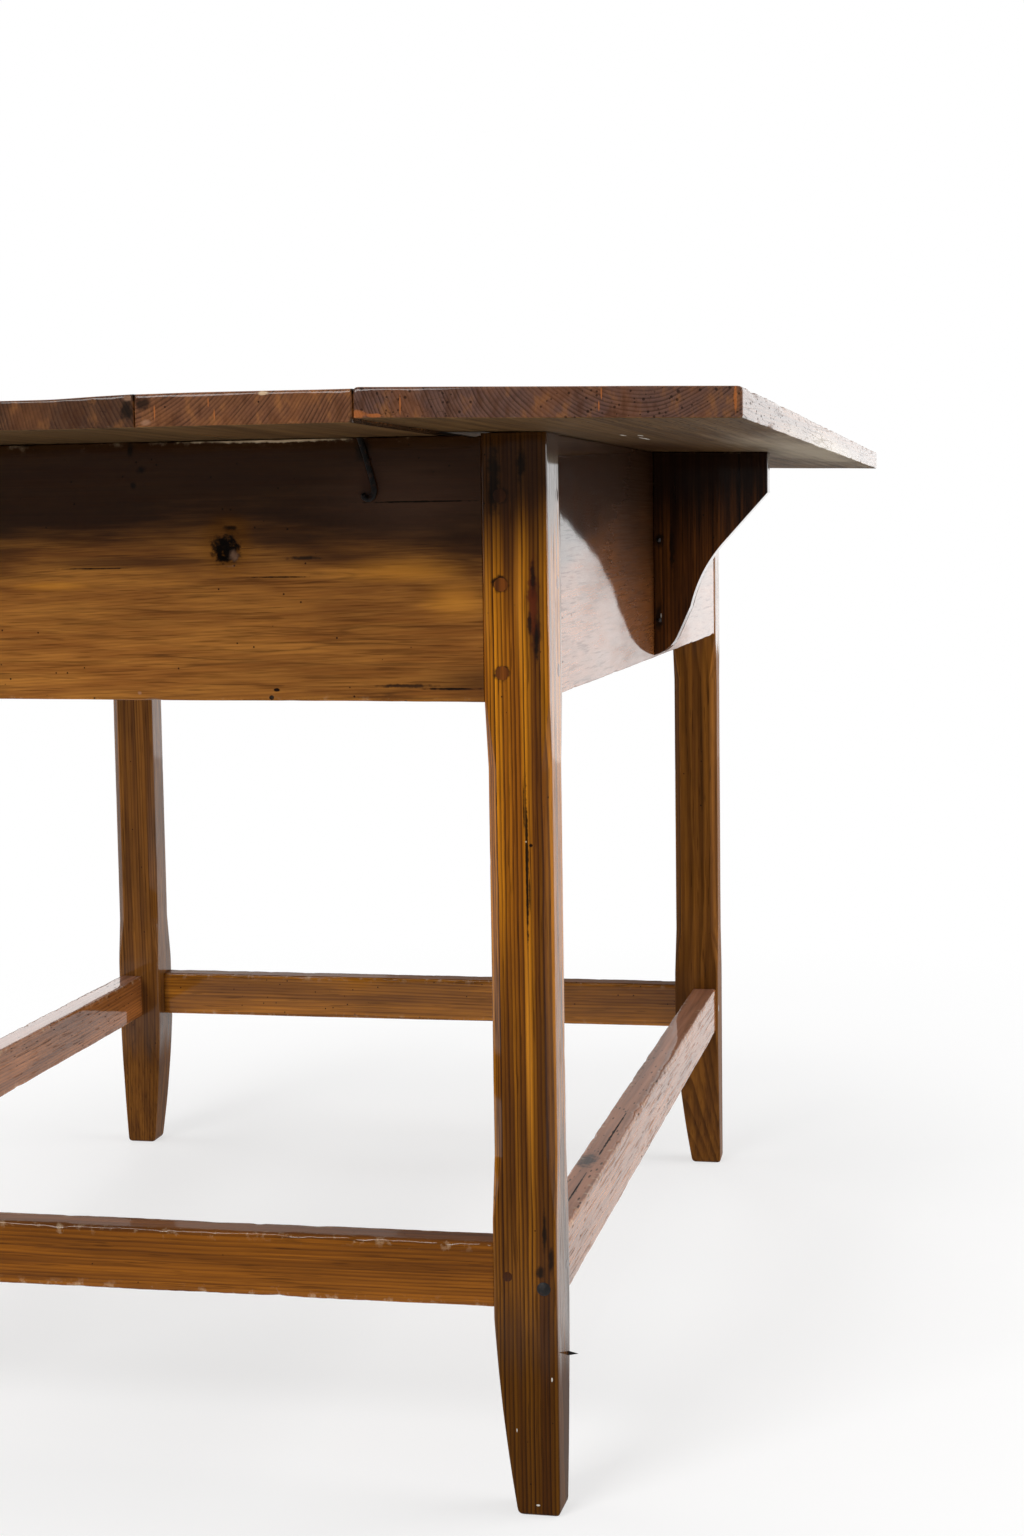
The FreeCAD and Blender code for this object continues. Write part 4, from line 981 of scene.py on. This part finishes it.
TOP_LOOK = dict(
    scars=0.05, hairs=0.1, satin=(UP, 0.94),
    light=(142, 90, 42), body=(106, 62, 30), late=(50, 27, 14),
    heart=(64, 36, 22), spacing=2.2 * MM, contrast=0.7, patches=0.5, coat=0.7,
    raw=(DOWN, (104, 84, 56), 1.0),
)
RIGHT_EDGE_MARKS = near_face(
    TOP_FACE,
    ("chip", (259.5, 740, 5.5, 5, 3), (270, 739, 5, 5, 1.2), (285, 745, 0.5, 3, 7),
     (401.5, 748, 0.45, 3, 4), (400, 742, 0.4, 3, 3.5), (477, 744, 1, 3, 9)),
) + (
    ("fleck", (368, -410, 735.4), (1.5, 14, 3)),
    ("fleck", (373, -345, 735.4), (1.5, 26, 3)),
    ("fleck", (379, -405, 735.4), (1.5, 10, 3)),
    ("shade", (350, -140, 735), (70, 190, 12)),
    # Painted sheen: the right edge and the underside beside it painted pale for their grazing
    # reflection.
    ("dust_and_sheen", (462, 60, 733), (60, 620, 14)),
)
RIGHT_SECOND_MARKS = near_face(
    TOP_FACE,
    ("stain", (130, 749, 6, 4, 5)),
    ("torn", (132, 738, 4, 4, 2)),
) + (
    # Painted shade on the side face of this board, along its lower right arris.
    ("stain", (257, -500, 735.6), (2.5, 900, 3.2)),
) + near_face(
    TOP_FACE,
    ("chip", (137.6, 744, 0.5, 3, 5), (170.5, 749, 0.4, 3, 3.5), (174, 742, 0.4, 3, 3.5)),
    ("bare", (203.7, 753.4, 3.4, 6, 1.2)),
)
CENTRE_MARKS = near_face(
    TOP_FACE,
    ("stain", (120.5, 745, 5, 4, 7)),
    ("torn", (121.5, 752.6, 3.2, 5, 2)),
)
EDGE_ARRIS = [(0.3, 0), (1.6, 10), (EDGE_ROUND_MM, 14), (0.3, 3)]
SECOND_LOOK = dict(TOP_LOOK, end=(102, 66, 46), light=(152, 98, 50), body=(116, 70, 36))
for side in (1, -1):
    make_board(EDGE_NODES[side], edge_board_corners(side), EDGE_ARRIS[::side],
               [22, 5, 26][::side] + [4], (70 + side, 13.0 + side), (0.813, side * 0.42),
               end=(86, 64, 58), pits=0.7, marks=(RIGHT_EDGE_MARKS if side > 0 else ()) + top_wear(
                   [side * EDGE_JOINT], [(side * NAIL_LINE_X, y) for y in (-385, -150, 150, 385)]),
               **TOP_LOOK)
for side, flank in ((1, "right"), (-1, "left")):
    node = f"top_board_{flank}_second"
    make_board(node, flat_board_corners(node), [(0.3, 0)] * 2 + [(0.35, 4)] * 2, [14, 4, 18, 4],
               (80 + side, 17.0 + side), (0.83, side * 0.10),
               marks=(RIGHT_SECOND_MARKS if side > 0 else ()) + top_wear(
                   [side * SECOND_JOINT, side * EDGE_JOINT],
                   [(side * x, y * NAIL_LINE_Y) for x in (156, 226) for y in (-1, 1)]),
               **SECOND_LOOK)
make_board("top_board_centre", centre_board_corners("top_board_centre"),
           [(0.3, 0)] * 2 + [(0.35, 3), (9, 0), (9, 0), (0.35, 3)], [20, 4, 6, 16, 6, 4],
           (90, 21.0), (0.80, 0.20),
           marks=CENTRE_MARKS + top_wear(
               [-SECOND_JOINT, SECOND_JOINT],
               [(x, y * NAIL_LINE_Y) for x in (-60, 60) for y in (-1, 1)]),
           **dict(TOP_LOOK, end=(66, 45, 34), light=(130, 84, 44), body=(96, 58, 30)))

# The fade darkens the brackets at the top: painted shade under the top.
BRACKET_LOOK = dict(light=(122, 70, 24), body=(76, 40, 14), late=(26, 13, 7),
                    heart=(22, 12, 7), spacing=3.4 * MM, bands=(210, 4), hairs=0.4,
                    contrast=0.7, patches=0.4, fades=((UP, 0.635, 0.715, 0.93),))
RIGHT_BRACKET_MARKS = (
    ("stain", (333.5, 4, 595), (4, 4, 13)),
    ("stain", (334, 4, 661), (5, 4, 7)),
    ("stain", (345, 4, 655), (2.6, 4, 26)),
    # A painted glint in the dark nail hole.
    ("fleck", (335.2, 4, 597), (0.5, 2, 2.6)),
)
for side, flank in ((1, "right"), (-1, "left")):
    make_bracket(f"bracket_{flank}", side, (side * 0.46, 0.03), 25.0 + side,
                 marks=RIGHT_BRACKET_MARKS if side > 0 else (), **BRACKET_LOOK)

# The pegs take the legs' painted shade at the top and towards the floor.
PEG_PINE = pine("peg", "Z", (0.5, 0.1), 31.0, light=(146, 80, 22), body=(108, 56, 15),
                late=(44, 22, 8), heart=(40, 21, 8), spacing=1.6 * MM, contrast=0.6,
                scars=0.0, fades=(LEG_TOP_SHADE, FOOT_SHADE))
APRON_PEG_HEIGHTS = [578 * MM, 636.5 * MM, 695 * MM]
for index, way in enumerate(("end", "side")):
    make_pegs(f"apron_{way}_pegs", APRON_PEG_HEIGHTS, 9.5 * MM, 110 + index, PEG_PINE)
    make_pegs(f"stretcher_{way}_pegs", [167.5 * MM], 7 * MM, 120 + index, PEG_PINE)

BLACK_IRON = iron("black_iron", (20, 17, 16), (58, 34, 22))
make_hook("apron_iron_hook", BLACK_IRON)
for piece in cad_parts.values():
    if not piece.hide_render:
        piece.data.materials.clear()
        piece.data.materials.append(BLACK_IRON)

# ---------------- floor, light and camera

FLOOR_HALF = 16.0
WORLD_LIGHT = 0.28
FRONT_GLOSS = 0.2


def white_floor():
    """Pale floor that takes the table's shadow and runs into the white background."""
    material, g, place = blank_material("pale_floor")
    cloudy = g.noise(place, 0.8, 2.0)
    tone = g.mix(cloudy, srgb(246, 246, 246), srgb(250, 250, 250))
    diffuse = g.node("BsdfDiffuse", {"Color": tone})
    ray = g.node("LightPath").outputs
    dim = g.ease(g.parts(place)[1], -1.3, -0.3, 1 - FRONT_GLOSS, 0.0)
    strength = g.math("SUBTRACT", 1.0, g.times(ray["Is Glossy Ray"], dim))
    glow = g.node("Emission", {"Color": (1, 1, 1, 1), "Strength": strength})
    far = g.ease(g.vector("LENGTH", place), 0.8, 1.9, 0.6, 1.0)
    seen = g.math("MULTIPLY_ADD", ray["Is Camera Ray"], far, ray["Is Glossy Ray"], clamp=True)
    both = g.node("MixShader", {0: seen, 1: diffuse.outputs[0], 2: glow.outputs[0]})
    g.node("OutputMaterial", {"Surface": both.outputs[0]})
    return material


FLOOR_CORNERS = [(x * FLOOR_HALF, y * FLOOR_HALF, 0)
                 for x, y in ((-1, -1), (1, -1), (1, 1), (-1, 1))]
floor = add_object("floor", new_mesh("floor", FLOOR_CORNERS, [(0, 1, 2, 3)], white_floor()))

# The white backdrop stands behind the table and the room in front of it is dimmer.
world = bpy.data.worlds.new("studio")
world.use_nodes = True
bpy.context.scene.world = world
sky = Graph(world.node_tree)
ray = sky.node("LightPath").outputs
depth = sky.parts(sky.node("TexCoord").outputs["Generated"])[1]
room = sky.ease(depth, -0.5, 0.0, FRONT_GLOSS, 1.0)
bent = sky.most(ray["Is Glossy Ray"], ray["Is Transmission Ray"])
strength = sky.plus(bent, sky.math("SUBTRACT", room, WORLD_LIGHT), WORLD_LIGHT)
strength = sky.most(strength, ray["Is Camera Ray"])
background = sky.node("Background", {"Color": (1, 1, 1, 1), "Strength": strength})
sky.node("OutputWorld", {"Surface": background.outputs[0]})

# Soft lamps: name, place, target, size and power.
LAMPS = (
    ("key", (-1.0, -3.0, 1.75), (0, 0, 0.45), (1.5, 1.0), 70),
    ("back", (1.4, 4.6, 1.1), (0.2, 0, 0.5), (3.6, 2.2), 15),
    ("back_left", (-1.8, 4.2, 1.5), (0, 0, 0.4), (1.6, 1.4), 24),
    ("right", (3.4, 0.4, 1.3), (0, 0, 0.4), (2.4, 1.8), 75),
    ("left", (-3.4, 0.4, 1.3), (0, 0, 0.4), (2.4, 1.8), 40),
    ("overhead", (0.0, 0.0, 3.4), (0, 0, 0.5), (2.6, 2.6), 55),
)
for name, place, target, size, power in LAMPS:
    lamp = bpy.data.lights.new(name, "AREA")
    lamp.shape = "RECTANGLE"
    lamp.size, lamp.size_y = size
    lamp.energy = power
    holder = add_object(name, lamp)
    holder.location = place
    holder.rotation_euler = (Vector(target) - Vector(place)).to_track_quat("-Z", "Y").to_euler()
    holder.visible_camera = False

CAMERA_PLACE = (626.7 * MM, -2086.9 * MM, 675.0 * MM)
CAMERA_RIGHT = (0.98028, 0.19709, -0.01437)
CAMERA_UP = (-0.00526, 0.09873, 0.99510)
CAMERA_BACK = (0.19754, -0.97540, 0.09782)
CAMERA_LENS, CAMERA_SENSOR = 57.72, 36.0
camera_data = bpy.data.cameras.new("camera")
camera_data.lens = CAMERA_LENS
camera_data.sensor_width = CAMERA_SENSOR
camera = add_object("camera", camera_data)
camera.matrix_world = Matrix([(*axes, place) for *axes, place in zip(
    CAMERA_RIGHT, CAMERA_UP, CAMERA_BACK, CAMERA_PLACE)] + [(0, 0, 0, 1)])
bpy.context.scene.camera = camera
bpy.context.scene.view_settings.view_transform = "Standard"
